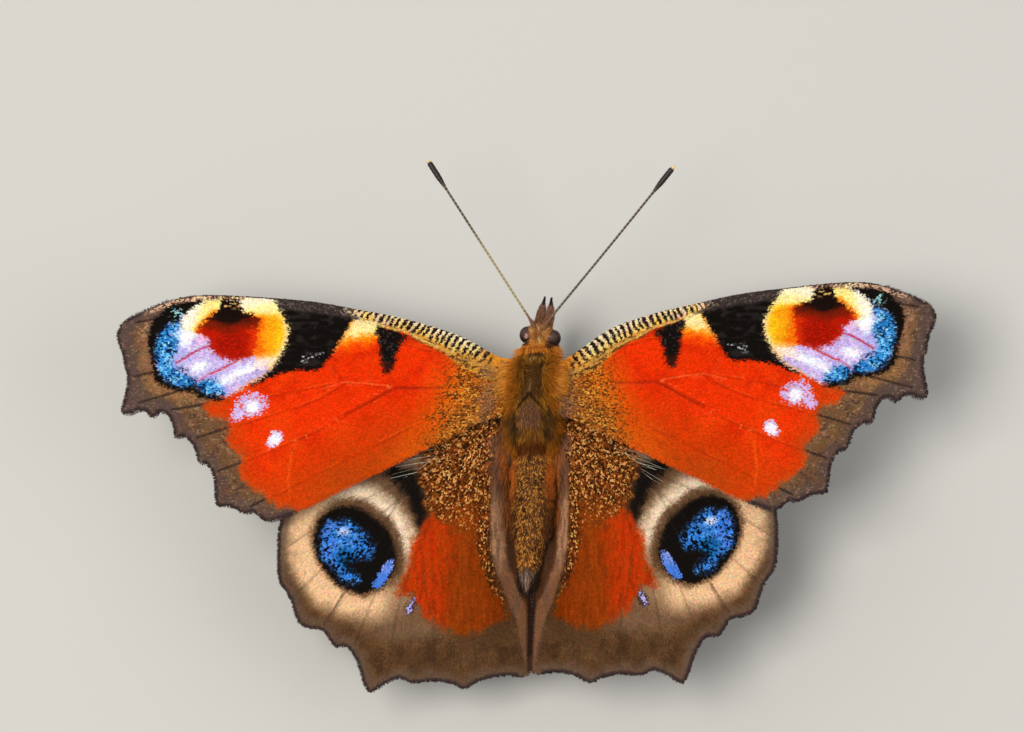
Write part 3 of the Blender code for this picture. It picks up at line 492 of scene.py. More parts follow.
def paint_zebra(canvas, u, v, grain):
    """Cream and black bars along the front edge, and the gold line under them."""
    foot_u, foot_v = zip(*ZEBRA_FOOT)
    foot = np.interp(u, foot_u, foot_v)
    above = v - foot
    edge_u, edge_v = zip(*FORE_FRONT_EDGE)
    under_edge = v - np.interp(u, edge_u, edge_v)
    root_zone = step(5.0, 2.4, u)
    far = step(6.2, 7.6, u)
    low = 0.56 + 0.5 * root_zone - 0.34 * far
    bed = step(-0.1, 0.12, above + low + 0.1 * (grain - 0.5)) * step(0.3, 0.1, above) * step(11.2, 10.4, u)
    canvas.over((204, 146, 58), 0.95 * bed * step(9.8, 8.8, u))
    mottle = 0.6 * noise(u * 0.5, v, 0.15, 16) + 0.4 * grain + 0.07 * root_zone
    canvas.over((84, 50, 26), 0.9 * bed * step(0.54, 0.66, mottle))
    line = np.abs(above + 0.3 - 0.18 * far + 0.12 * (noise(u, v, 0.5, 17) - 0.5))
    canvas.over((234, 196, 108), 0.85 * (1.0 - 0.45 * root_zone) * step(0.14, 0.04, line) * step(11.2, 10.0, u) * step(0.2, 0.4, grain))
    canvas.over((88, 50, 26), 0.8 * step(0.13, 0.04, np.abs(above + 0.55)) * step(0.4, 0.55, grain) * step(7.6, 6.8, u))
    zone = step(-0.05, 0.1, above) * step(11.9, 11.5, u + 0.4 * above)
    height = np.clip(above / 1.2, 0.0, 1.0)
    pale = np.outer(1 - height, (236, 190, 88)) + np.outer(height, (246, 226, 180))
    root_gold = step(2.2, 0.6, u)
    pale += (np.array((230, 146, 40)) - pale) * root_gold[:, None]
    pink = 0.6 * step(0.45, 0.7, noise(u, v, 0.8, 5)) * step(3.0, 6.0, u)
    pale += (np.array((226, 194, 178)) - pale) * pink[:, None]
    canvas.over(pale, zone)
    canvas.over((238, 190, 80), zone * step(0.32, 0.18, np.hypot(u - 7.55, v - 3.55)))
    bend = 0.5 * noise(u, v, 0.9, 11) + 0.34 * noise(u, v, 0.42, 12) * (1.0 - 0.6 * height)
    phase = (u + ZEBRA_SLANT * under_edge) / ZEBRA_PERIOD + bend
    bar = np.sin(2 * math.pi * phase) + 0.4 * (noise(u, v, 0.2, 13) - 0.5) + 0.5 * (grain - 0.5)
    narrow = -0.1 + 0.45 * step(0.35, 0.0, above + 0.4 * (noise(u, v, 0.45, 14) - 0.5)) + 0.3 * step(9.0, 10.5, u)
    canvas.over((36, 23, 22), zone * step(narrow - 0.3, narrow + 0.2, bar) * step(0.4, 0.9, u))


def paint_base_dust(canvas, u, v, grain):
    """Gold and dark scales strewn over the root of the forewing."""
    reach = u + 0.3 * (v + 1.0) + 1.2 * (cloud(u, v, 0.9, 21) - 0.5)
    canvas.over((222, 84, 6), 0.75 * step(7.4, 4.2, reach + 0.25 * (v + 3.0)))
    canvas.over((204, 108, 18), 0.85 * step(5.2, 2.4, reach + 0.5 * (grain - 0.5)))
    brown = step(4.0, 1.2, reach + 0.3 * (v + 2.2)) * step(0.4, -1.8, v)
    canvas.over((140, 86, 40), 0.65 * brown)
    fine = 0.5 * noise(u, v, 0.13, 22) + 0.5 * grain
    near = step(5.9, 2.6, reach)
    canvas.over((74, 42, 18), 0.85 * step(0.55, 0.66, fine + 0.1 * (near - 0.7)) * step(6.0, 3.4, reach))
    light = 0.5 * noise(u, v, 0.15, 23) + 0.5 * (1.0 - grain)
    canvas.over((228, 160, 62), 0.8 * step(0.62, 0.72, light) * step(4.8, 2.4, reach))


def paint_eyespot(canvas, u, v, grain):
    """The big spot near the forewing's tip."""
    canvas.shape(CRESCENT, BLACK, 0.14, 0.16, 0.22, 31)
    near = step(1.15, 0.5, np.hypot((u - 25.4) / 0.8, (v - 4.85) / 0.6))
    canvas.over((150, 205, 208), near * step(0.6, 0.7, 0.55 * noise(u, v, 0.16, 32) + 0.45 * grain))
    eye = canvas.mask(EYESPOT, 0.12, 0.12, 0.2, 33)
    edge_depth = depth_inside(u, v, smooth_line(EYESPOT, 3, True))
    inside = Canvas(u, v, (194, 172, 228), grain)
    inside.over((226, 208, 240), 0.75 * step(0.45, 0.7, 0.6 * noise(u, v, 0.3, 34) + 0.4 * grain))
    inside.over((160, 150, 222), 0.6 * step(0.62, 0.75, 0.6 * noise(u, v, 0.22, 30) + 0.4 * (1 - grain)))
    inside.over((160, 176, 234), 0.55 * step(24.0, 25.2, u))
    inside.over((150, 172, 234), 0.7 * step(20.8, 22.2, u) * step(-0.5, -1.2, v + 0.35 * (u - 21.0)))
    inside.spot((18.5, 0.75), (1.3, 0.42), -26, (246, 220, 214), 0.4, 0.12, seed=35)
    inside.spot((20.85, -0.3), (1.65, 0.42), -27, (224, 226, 252), 0.5, 0.1, 0.2, 29)
    inside.stroke(((19.5, 0.2), (20.4, -0.1), (21.2, -0.5), (21.9, -1.05)), 0.27, WHITE, 1.0, 0.4, 0.5)
    inside.spot((23.55, 0.45), (0.95, 0.6), -10, (226, 218, 248), 0.5, 0.15, 0.2, 28, 0.8)
    inside.spot((23.5, 0.45), (0.56, 0.33), -14, WHITE, 0.35, 0.1, 0.2, 43)

    foot = inside.mask(BLUE_FOOT, 0.25, 0.2, 0.25, 36)
    bow = inside.mask(BLUE_CRESCENT, 0.2, 0.18, 0.25, 37)
    blues = np.maximum(foot, bow)
    tone = np.tile(np.array(BLUE, float), (len(u), 1))
    for colour, amount in (
        ((34, 116, 190), 0.8 * step(0.5, 0.75, noise(u, v, 0.5, 39))),
        ((150, 212, 248), 0.9 * step(0.5, 0.66, 0.6 * noise(u, v, 0.24, 38) + 0.4 * grain)),
        ((196, 222, 250), 0.6 * step(25.7, 25.1, u) * step(1.4, 2.4, v) * step(0.4, 0.6, grain)),
    ):
        tone += (np.array(colour, float) - tone) * amount[:, None]
    inside.over(tone, blues)
    dark_heart = step(0.95, 0.2, np.hypot((u - 25.85) / 0.6, (v - 2.05) / 0.8))
    dark_foot = step(0.95, 0.2, np.hypot((u - 24.9) / 1.0, (v - 0.1) / 0.5))
    dark_gap = step(1.0, 0.2, np.hypot((u - 24.1) / 0.6, (v + 0.7) / 0.4))
    dark_zone = np.maximum(np.maximum(dark_heart, dark_foot), dark_gap)
    speckle = 0.6 * noise(u, v, 0.15, 40) + 0.4 * grain + 0.17 * dark_zone + 0.1 * step(0.6, 0.1, edge_depth)
    inside.over((12, 38, 78), np.maximum(blues, 0.85 * dark_foot) * step(0.6, 0.68, speckle))

    inside.shape(WHITE_PATCH, (232, 234, 254), 0.25, 0.2, 0.25, 41)
    inside.spot((24.5, 2.95), (0.55, 0.5), 60, (255, 255, 255), 0.5, 0.1, 0.2, 27)
    inside.stroke(((24.9, 3.5), (25.7, 3.05)), 0.1, (206, 222, 250), 0.7)
    inside.spot((23.3, 2.75), (0.62, 0.42), -20, (232, 188, 226), 0.5, 0.15, seed=42)

    yellow = inside.mask(YELLOW_SIDE, 0.15, 0.16, 0.2, 47)
    streak = 0.5 * (noise(u * 0.4, v * 1.6, 0.3, 26) - 0.5) + 0.4 * (grain - 0.5)
    tint = np.tile(np.array((253, 214, 84), float), (len(u), 1))
    for colour, amount in (
        ((253, 192, 22), step(1.5, 0.7, np.hypot((u - 18.0) / 1.1, (v - 3.2) / 1.5))),
        ((250, 158, 14), 0.8 * step(17.0, 17.9, u + streak) * step(4.9, 4.3, v)),
        ((244, 112, 8), step(18.1, 18.9, u + streak + 0.12 * np.abs(v - 3.2)) * step(4.9, 4.3, v)),
        ((254, 236, 158), step(4.4, 5.1, v + 0.3 * streak)),
        ((255, 246, 212), step(5.0, 5.9, v + 0.25 * (u - 19.0))),
        ((250, 222, 196), step(1.5, 0.9, v + 0.3 * streak)),
        ((250, 218, 150), 0.85 * step(0.45, 0.12, edge_depth + 0.1 * (grain - 0.5)) * step(4.8, 4.0, v)),
    ):
        tint += (np.array(colour, float) - tint) * np.asarray(amount)[:, None]
    inside.over(tint, yellow)
    cream = inside.mask(CREAM_SIDE, 0.16, 0.14, 0.2, 49)
    inside.over((253, 230, 140), cream)
    inside.over((254, 244, 222), cream * step(23.3, 24.2, u + 0.4 * (v - 4.6) + 0.3 * streak))

    red = inside.mask(RED_CENTRE, 0.16, 0.2, 0.22, 44)
    rim, _ = line_distance(u, v, ((22.3, 4.9), (22.9, 4.4), (23.7, 3.5)))
    inside.over((250, 150, 26), 0.9 * step(0.42, 0.12, rim + 0.15 * (grain - 0.5)))
    inside.over((182, 24, 2), red)
    inside.over((214, 48, 3), red * step(19.9, 19.1, u + streak))
    inside.over((138, 12, 1), 0.7 * red * step(1.7, 0.5, np.hypot((u - 20.9) / 1.1, v - 2.3)) * step(0.2, 0.6, 1 - grain))
    inside.over((232, 70, 8), red * step(0.35, 0.1, rim))
    inside.over((108, 26, 6), 0.9 * red * step(2.8, 3.7, v - 0.2 * np.abs(u - 21.2) + 0.6 * streak))
    inside.over((30, 12, 8), red * step(3.5, 4.2, v - 0.3 * np.abs(u - 21.2) + 0.4 * streak))
    bars = 0.5 * (noise(u * 0.3, v, 0.12, 50) - 0.5) * step(4.6, 5.2, v)
    notch = depth_inside(u, v, smooth_line(NOTCH, 4, True)) + bars + 0.12 * (grain - 0.5)
    inside.over((24, 12, 8), step(-0.12, 0.1, notch))
    inside.over((196, 160, 100), step(0.0, 0.12, notch) * step(5.0, 5.4, v) * step(0.62, 0.7, noise(u * 0.3, v, 0.12, 51)))

    for line, width, colour in (
        (((22.7, 2.15), (23.2, 2.0), (24.0, 1.6), (24.8, 1.05), (25.3, 0.75)), 0.085, (184, 50, 84)),
        (((20.4, 0.98), (21.3, 0.52), (22.0, 0.15), (22.6, -0.1)), 0.075, (206, 60, 60)),
        (((22.6, -0.1), (23.1, -0.4), (23.6, -0.8)), 0.06, (206, 104, 150)),
    ):
        inside.stroke(smooth_line(line, 3), width, colour, 0.9)
    rim_foot = step(0.34, 0.08, edge_depth + 0.14 * (grain - 0.5)) * step(1.6, 0.8, v) * step(21.0, 19.6, u)
    inside.over((222, 176, 132), 0.85 * rim_foot)
    canvas.over(inside.rgb, eye)


def paint_field(canvas, u, v, grain):
    """The red field with its veins, drawn as painted highlights with painted shadows beside them, and faint creases."""
    canvas.over((234, 66, 5), 0.75 * step(0.42, 0.75, cloud(u, v, 2.4, 61)))
    canvas.over((206, 36, 2), 0.6 * step(0.5, 0.8, cloud(u, v, 1.3, 62)))
    rear, _ = line_distance(u, v, smooth_line(FORE_REAR_EDGE, 3))
    soft_rear = rear + 1.1 * (cloud(u, v, 1.6, 63) - 0.5)
    canvas.over((198, 60, 3), 0.85 * step(5.4, 1.6, soft_rear))
    canvas.over((184, 66, 8), 0.85 * step(2.4, 0.6, soft_rear) * step(18.5, 13.0, u))
    canvas.over((150, 80, 24), 0.75 * step(1.5, 0.3, rear) * step(9.0, 5.0, u))
    # Painted highlight along each vein and painted shadow a little toward the rear edge of it, both broken up in
    # places.
    broken = step(0.3, 0.6, noise(u, v, 1.1, 59))
    for number, vein in enumerate(VEINS["fore"]):
        line = smooth_line(vein, 3)
        distance, _ = line_distance(u, v, line)
        canvas.over((250, 104, 34), 0.3 * step(0.13, 0.03, distance) * broken)
        distance, _ = line_distance(u, v, line - (0.0, 0.13))
        canvas.over((160, 28, 5), 0.3 * step(0.13, 0.03, distance) * (0.4 + 0.6 * broken))
    # More painted shadow beside the cubitus vein, and painted highlights along it near the root and along the cell.
    distance, _ = line_distance(u, v, ((4.0, -1.2), (6.0, -1.3), (8.2, -1.3), (9.8, -2.3), (12.0, -3.4)))
    canvas.over((150, 26, 4), 0.5 * step(0.2, 0.03, distance))
    canvas.stroke(((8.3, -1.15), (10.2, -0.95), (11.9, -0.85), (13.6, -1.3)), 0.07, (252, 116, 60), 0.5)
    canvas.stroke(((0.8, -0.95), (2.6, -1.0), (4.4, -1.05)), 0.07, (226, 160, 84), 0.5)
    flecks = step(0.8, 0.9, noise(u, v, 0.22, 58)) * step(0.8, 0.2, line_distance(
        u, v, ((8.5, -1.4), (11.0, -2.6), (13.5, -4.2), (15.5, -5.6)))[0])
    canvas.over((252, 140, 74), 0.5 * flecks)
    crease, _ = line_distance(u, v, ((16.1, -6.5), (16.4, -8.5), (16.1, -11.0)))
    canvas.over((244, 96, 20), 0.5 * step(0.16, 0.04, crease))


def paint_forewing(u, v, side, grain):
    """Upper side of a forewing. Grain is a random number for each scale."""
    shifted = u + BASE_SHIFT[side] * step(13.0, 9.0, u)
    canvas = Canvas(u, v, RED, grain)
    paint_field(canvas, u, v, grain)
    paint_base_dust(canvas, shifted, v, grain)

    blur = 0.5 * (noise(u, v, 0.35, 64) - 0.5) + 0.5 * (grain - 0.5)
    cream_zone = step(9.3, 9.7, shifted) * step(12.9, 11.9, u + 0.25 * (v - 3.0))
    slope = v + 0.15 * (u - 10.8) + 0.7 * blur
    canvas.over((248, 84, 4), cream_zone * step(1.65, 2.3, slope))
    canvas.over((252, 134, 10), cream_zone * step(2.2, 2.65, slope))
    canvas.over((253, 184, 60), cream_zone * step(2.55, 3.0, slope))
    canvas.over((251, 228, 158), cream_zone * step(2.8, 3.2, slope))
    gap = -depth_inside(u, v, smooth_line(BLOTCH, 3, True))
    canvas.over((250, 160, 60), 0.75 * step(0.4, 0.05, gap) * step(0.9, 1.6, v) * step(13.2, 12.6, u))

    moved = Canvas(shifted, v, BLACK, grain)
    triangle = moved.mask(TRIANGLE, 0.2, 0.22, 0.3, 67)
    canvas.over((110, 26, 10), 0.8 * moved.mask(TRIANGLE, 0.42, 0.2, 0.3, 67) * step(2.4, 1.4, v))
    canvas.over(BLACK, triangle * (0.72 + 0.28 * step(0.5, 1.1, v)))
    canvas.over((96, 80, 78), triangle * 0.5 * step(0.66, 0.76, 0.5 * noise(u, v, 0.2, 68) + 0.5 * grain))
    canvas.shape(BLOTCH, BLACK, 0.12, 0.14, 0.22, 69)
    inside_blotch = step(0.1, 0.4, -gap)
    canvas.over((48, 42, 40), 0.6 * inside_blotch * step(0.55, 0.75, noise(u * 0.4, v, 0.25, 57)))
    for line in (((13.7, 1.5), (14.3, 1.32)), ((14.5, 1.2), (14.9, 1.05), (15.4, 0.78)), ((15.0, 1.3), (15.3, 1.2))):
        distance, _ = line_distance(u, v, line)
        canvas.over((188, 186, 196), 0.85 * step(0.12, 0.03, distance) * step(0.25, 0.45, grain))
    edge_u, edge_v = zip(*FORE_FRONT_EDGE[:15])
    under_edge = np.interp(u, edge_u, edge_v) - v
    strip = step(1.0, 0.7, under_edge + 0.2 * (grain - 0.5)) * step(10.9, 11.6, u + 0.5 * under_edge)
    strip *= step(18.1, 17.7, u)
    canvas.over((58, 47, 44), strip)
    pale_specks = step(0.6, 0.7, 0.6 * noise(u, v, 0.2, 71) + 0.4 * grain)
    canvas.over((206, 178, 150), strip * pale_specks * step(14.0, 11.4, u) * step(0.9, 0.3, under_edge))
    canvas.over((108, 96, 92), strip * 0.7 * step(0.6, 0.72, 0.5 * noise(u, v, 0.2, 72) + 0.5 * grain))
    paint_zebra(canvas, shifted, v, grain)

    brown = canvas.mask(FORE_BROWN, 0.22, 0.34, 0.45, 73)
    margin = Canvas(u, v, MARGIN_BROWN, grain)
    margin.over((138, 100, 68), 0.7 * step(0.5, 0.68, 0.7 * cloud(u, v, 0.6, 74) + 0.3 * grain))
    margin.over((72, 54, 46), 0.75 * step(0.52, 0.7, 0.7 * cloud(u, v, 0.5, 75) + 0.3 * (1 - grain)))
    crescent_gap = -depth_inside(u, v, smooth_line(CRESCENT, 3, True)) + 0.3 * (cloud(u, v, 0.5, 76) - 0.5)
    patchy = 0.55 + 0.45 * step(0.4, 0.6, 0.6 * noise(u, v, 0.25, 89) + 0.4 * grain)
    margin.over((158, 112, 82), 0.72 * patchy * step(1.0, 0.35, crescent_gap) * step(-0.6, 1.0, v))
    margin.over((206, 164, 138), 0.5 * step(0.8, 0.3, crescent_gap) * step(2.6, 3.8, v) * step(0.55, 0.65, grain))
    margin.over((168, 118, 72), 0.72 * patchy * step(1.3, 0.3, crescent_gap) * step(-2.9, -1.8, v) * step(0.6, -0.8, v))
    margin.over((92, 72, 62), 0.8 * step(0.8, 1.3, crescent_gap) * step(24.6, 26.4, u))
    rim = depth_inside(u, v, smooth_line(OUTLINES["fore"], 4, True))
    margin.over((88, 70, 66), 0.75 * step(1.3, 0.4, rim + 0.5 * (noise(u, v, 0.5, 78) - 0.5)))
    margin.over((50, 39, 40), 0.85 * step(0.34, 0.08, rim))
    lit = step(0.66, 0.8, 0.6 * noise(u, v, 0.22, 56) + 0.4 * grain)
    margin.over((176, 142, 112), 0.4 * lit)
    paint_veins(margin, "fore", (48, 36, 31), 0.8, 0.09)
    brown_gap = -canvas_depth(u, v, FORE_BROWN) + 0.5 * (cloud(u, v, 0.8, 55) - 0.5)
    canvas.over((204, 60, 6), 0.8 * step(2.2, 0.4, brown_gap) * step(24.5, 23.5, u) * step(1.0, -1.0, v))
    canvas.over((186, 76, 26), 0.6 * step(0.7, 0.0, brown_gap) * step(24.0, 22.5, u))
    canvas.over(margin.rgb, brown)
    paint_eyespot(canvas, u, v, grain)

    mix = 0.5 * noise(u, v, 0.17, 77) + 0.5 * grain
    top = step(0.5, 0.3, under_edge + 0.15 * (grain - 0.5)) * step(18.2, 18.7, u) * step(28.4, 27.0, u)
    edge_strip = step(0.34, 0.2, under_edge) * step(19.9, 20.3, u) * step(28.4, 27.4, u)
    canvas.over((150, 118, 92), edge_strip)
    canvas.over((206, 166, 136), top * step(21.4, 23.0, u))
    canvas.over((66, 48, 42), np.maximum(top, edge_strip) * step(0.5, 0.6, mix) * step(19.8, 20.4, u))
    canvas.over((238, 214, 160), top * step(0.62, 0.7, 1 - mix) * step(25.0, 23.0, u))
    canvas.over((58, 44, 40), step(0.1, 0.02, under_edge) * step(11.5, 12.5, u))

    spread = 0.45 * (noise(u, v, 0.16, 79) - 0.5)
    lilac = step(-0.05, 0.2, canvas_depth(u, v, LILAC_SPOT) + spread + 0.4 * (grain - 0.5))
    canvas.over((204, 182, 234), lilac * (0.35 + 0.65 * step(0.3, 0.45, noise(u, v, 0.2, 54) * 0.6 + grain * 0.4)))
    halo = np.hypot(u - 19.25, v + 2.78) + 0.3 * (grain - 0.5)
    canvas.over((226, 216, 246), step(0.85, 0.55, halo) * step(0.3, 0.5, grain))
    canvas.over(WHITE, step(0.5, 0.32, halo))
    canvas.over((206, 186, 232), step(-0.08, 0.1, canvas_depth(u, v, WHITE_SPOT) + spread * 0.5 + 0.2 * (grain - 0.5)))
    canvas.spot((17.45, -5.38), (0.5, 0.42), -50, WHITE, 0.35, 0.08, 0.2, 81)
    return canvas.rgb


def canvas_depth(u, v, outline):
    return depth_inside(u, v, smooth_line(outline, 4, True))


OVAL_CENTRE = (11.62, -9.75)
OVAL_RADII = (3.6, 2.85)
OVAL_TURN = 52.0
BLUE_FIELD = (
    (12.2, -7.4), (13.4, -7.4), (14.1, -8.1), (14.35, -9.3), (14.2, -10.3), (13.6, -11.0), (12.9, -11.7),
    (12.2, -12.35), (11.45, -12.3), (11.15, -11.75), (12.1, -11.2), (12.2, -10.75), (11.2, -10.6), (10.6, -10.5), (10.1, -9.9),
    (10.0, -9.4), (10.5, -9.2), (10.5, -8.6), (11.1, -8.2), (11.5, -7.7),
)
BLUE_SLASH = (
    (8.55, -10.5), (8.95, -10.6), (9.4, -11.15), (9.85, -11.9), (10.2, -12.6), (9.9, -12.85), (9.3, -12.45),
    (8.85, -11.8), (8.6, -11.1),
)
HIND_BLACK = (
    (6.2, -3.9), (7.0, -3.3), (8.4, -3.0), (9.2, -3.6), (8.6, -4.3), (7.9, -5.0), (7.3, -5.9), (6.9, -7.0),
    (6.5, -7.9), (6.0, -7.6), (5.9, -6.4), (6.2, -5.2),
)
RUST = (
    (1.2, -6.4), (2.6, -6.0), (4.2, -5.7), (5.4, -6.4), (5.9, -7.3), (6.5, -8.2), (7.1, -9.5), (7.5, -11.0),
    (8.0, -12.6), (8.1, -13.4), (7.0, -13.5), (6.5, -14.4), (5.7, -15.3), (4.2, -16.2), (2.8, -16.5),
    (1.4, -15.9), (0.2, -15.4), (-0.3, -14.6), (0.3, -13.2), (1.0, -12.0), (1.1, -10.0),
)
DUST = (
    (0.2, 0.6), (3.0, 0.2), (5.0, -1.2), (6.3, -2.4), (6.3, -4.4), (6.0, -5.8), (5.5, -7.0), (4.3, -8.0),
    (3.0, -8.8), (2.2, -9.8), (1.65, -11.0), (1.25, -12.2), (0.75, -13.2), (0.0, -14.8), (-0.4, -15.4),
    (-0.2, -13.8), (0.35, -12.2), (0.8, -10.4), (0.95, -7.0), (0.8, -3.0), (0.4, -1.0),
)
# The outer border of the pale fold beside the body.
FOLD_BORDER = ((0.0, 0.4), (-2.0, 0.55), (-4.0, 0.85), (-7.0, 1.0), (-9.5, 0.95), (-11.0, 0.7), (-12.5, 0.15),
               (-14.0, -0.5), (-16.0, -1.2), (-20.0, -1.9))


def paint_hind_eye(canvas, u, v, grain):
    """The dark oval with its blue heart and the pale ring round it."""
    a = math.radians(OVAL_TURN)
    du, dv = u - OVAL_CENTRE[0], v - OVAL_CENTRE[1]
    x = (du * math.cos(a) + dv * math.sin(a)) / OVAL_RADII[0]
    y = (dv * math.cos(a) - du * math.sin(a)) / OVAL_RADII[1]
    out = (np.hypot(x, y) - 1.0) * 3.2
    toward_body = step(-0.1, 1.4, (-du * 0.75 + dv * 0.66) / (np.hypot(du, dv) + 0.1) * 2.0)
    toward_tail = step(0.35, 0.95, (-du * 0.55 - dv * 0.83) / (np.hypot(du, dv) + 0.1))
    ring_in = 0.12 + 0.6 * toward_body + 0.1 * toward_tail
    ring_out = 2.65 - 0.25 * toward_body - 0.8 * toward_tail
    wave = 0.35 * (cloud(u, v, 0.9, 101) - 0.5) + 0.25 * (grain - 0.5)
    fade_out = ring_out + 0.6 + 0.5 * toward_tail
    ring = step(ring_in - 0.3, ring_in + 0.4, out + wave) * step(fade_out, ring_out - 0.9, out + wave)
    ring *= 1.0 - 0.55 * toward_tail * step(10.0, 8.2, u)
    pale = np.outer(1 - toward_body, (240, 196, 150)) + np.outer(toward_body, (248, 224, 194))
    canvas.over(pale, 0.96 * ring)
    canvas.over((170, 132, 98), 0.5 * ring * step(0.5, 0.75, noise(u, v, 0.5, 102)) * step(1.1, 2.0, out))
    halo = step(ring_in + 0.6, ring_in - 0.2, out + wave)
    canvas.over((104, 74, 50), 0.85 * halo * (1.0 - 0.6 * step(-9.0, -10.5, v)))
    canvas.over(BLACK, step(0.12 + 0.3 * toward_body, -0.1, out + 0.8 * wave))
    field = canvas.mask(BLUE_FIELD, 0.2, 0.3, 0.35, 103)
    shade = Canvas(u, v, (48, 122, 214))
    shade.over((92, 126, 230), 0.6 * step(0.5, 0.7, noise(u, v, 0.6, 104)) * step(12.2, 13.4, u))
    shade.over((96, 170, 244), 0.8 * step(0.55, 0.7, 0.5 * noise(u, v, 0.25, 99) + 0.5 * grain))
    shade.over((12, 98, 164), step(1.2, 0.4, np.hypot(u - 12.3, (v + 10.4))) * 0.8)
    # Painted highlight: a near-white oval at the top of the blue field.
    shade.over((214, 224, 252), step(0.95, 0.15, np.hypot((u - 12.45) / 0.75, (v + 8.3) / 0.5) + 0.5 * (grain - 0.5)))
    canvas.over(shade.rgb, field)
    speckle = 0.6 * noise(u, v, 0.14, 105) + 0.4 * grain
    dark = 0.1 * step(1.6, 0.4, np.hypot(u - 11.6, v + 10.7)) + 0.14 * step(1.7, 0.2, canvas_depth(u, v, BLUE_FIELD) * 2)
    canvas.over((8, 14, 26), field * step(0.6, 0.7, speckle + dark))
    slash = step(-0.05, 0.1, canvas_depth(u, v, BLUE_SLASH) + 0.2 * (grain - 0.5) + 0.12 * (noise(u, v, 0.2, 98) - 0.5))
    canvas.over((72, 128, 226), slash)
    canvas.over((160, 168, 240), slash * step(0.4, 0.7, grain) * step(-12.0, -10.9, v))
    return out


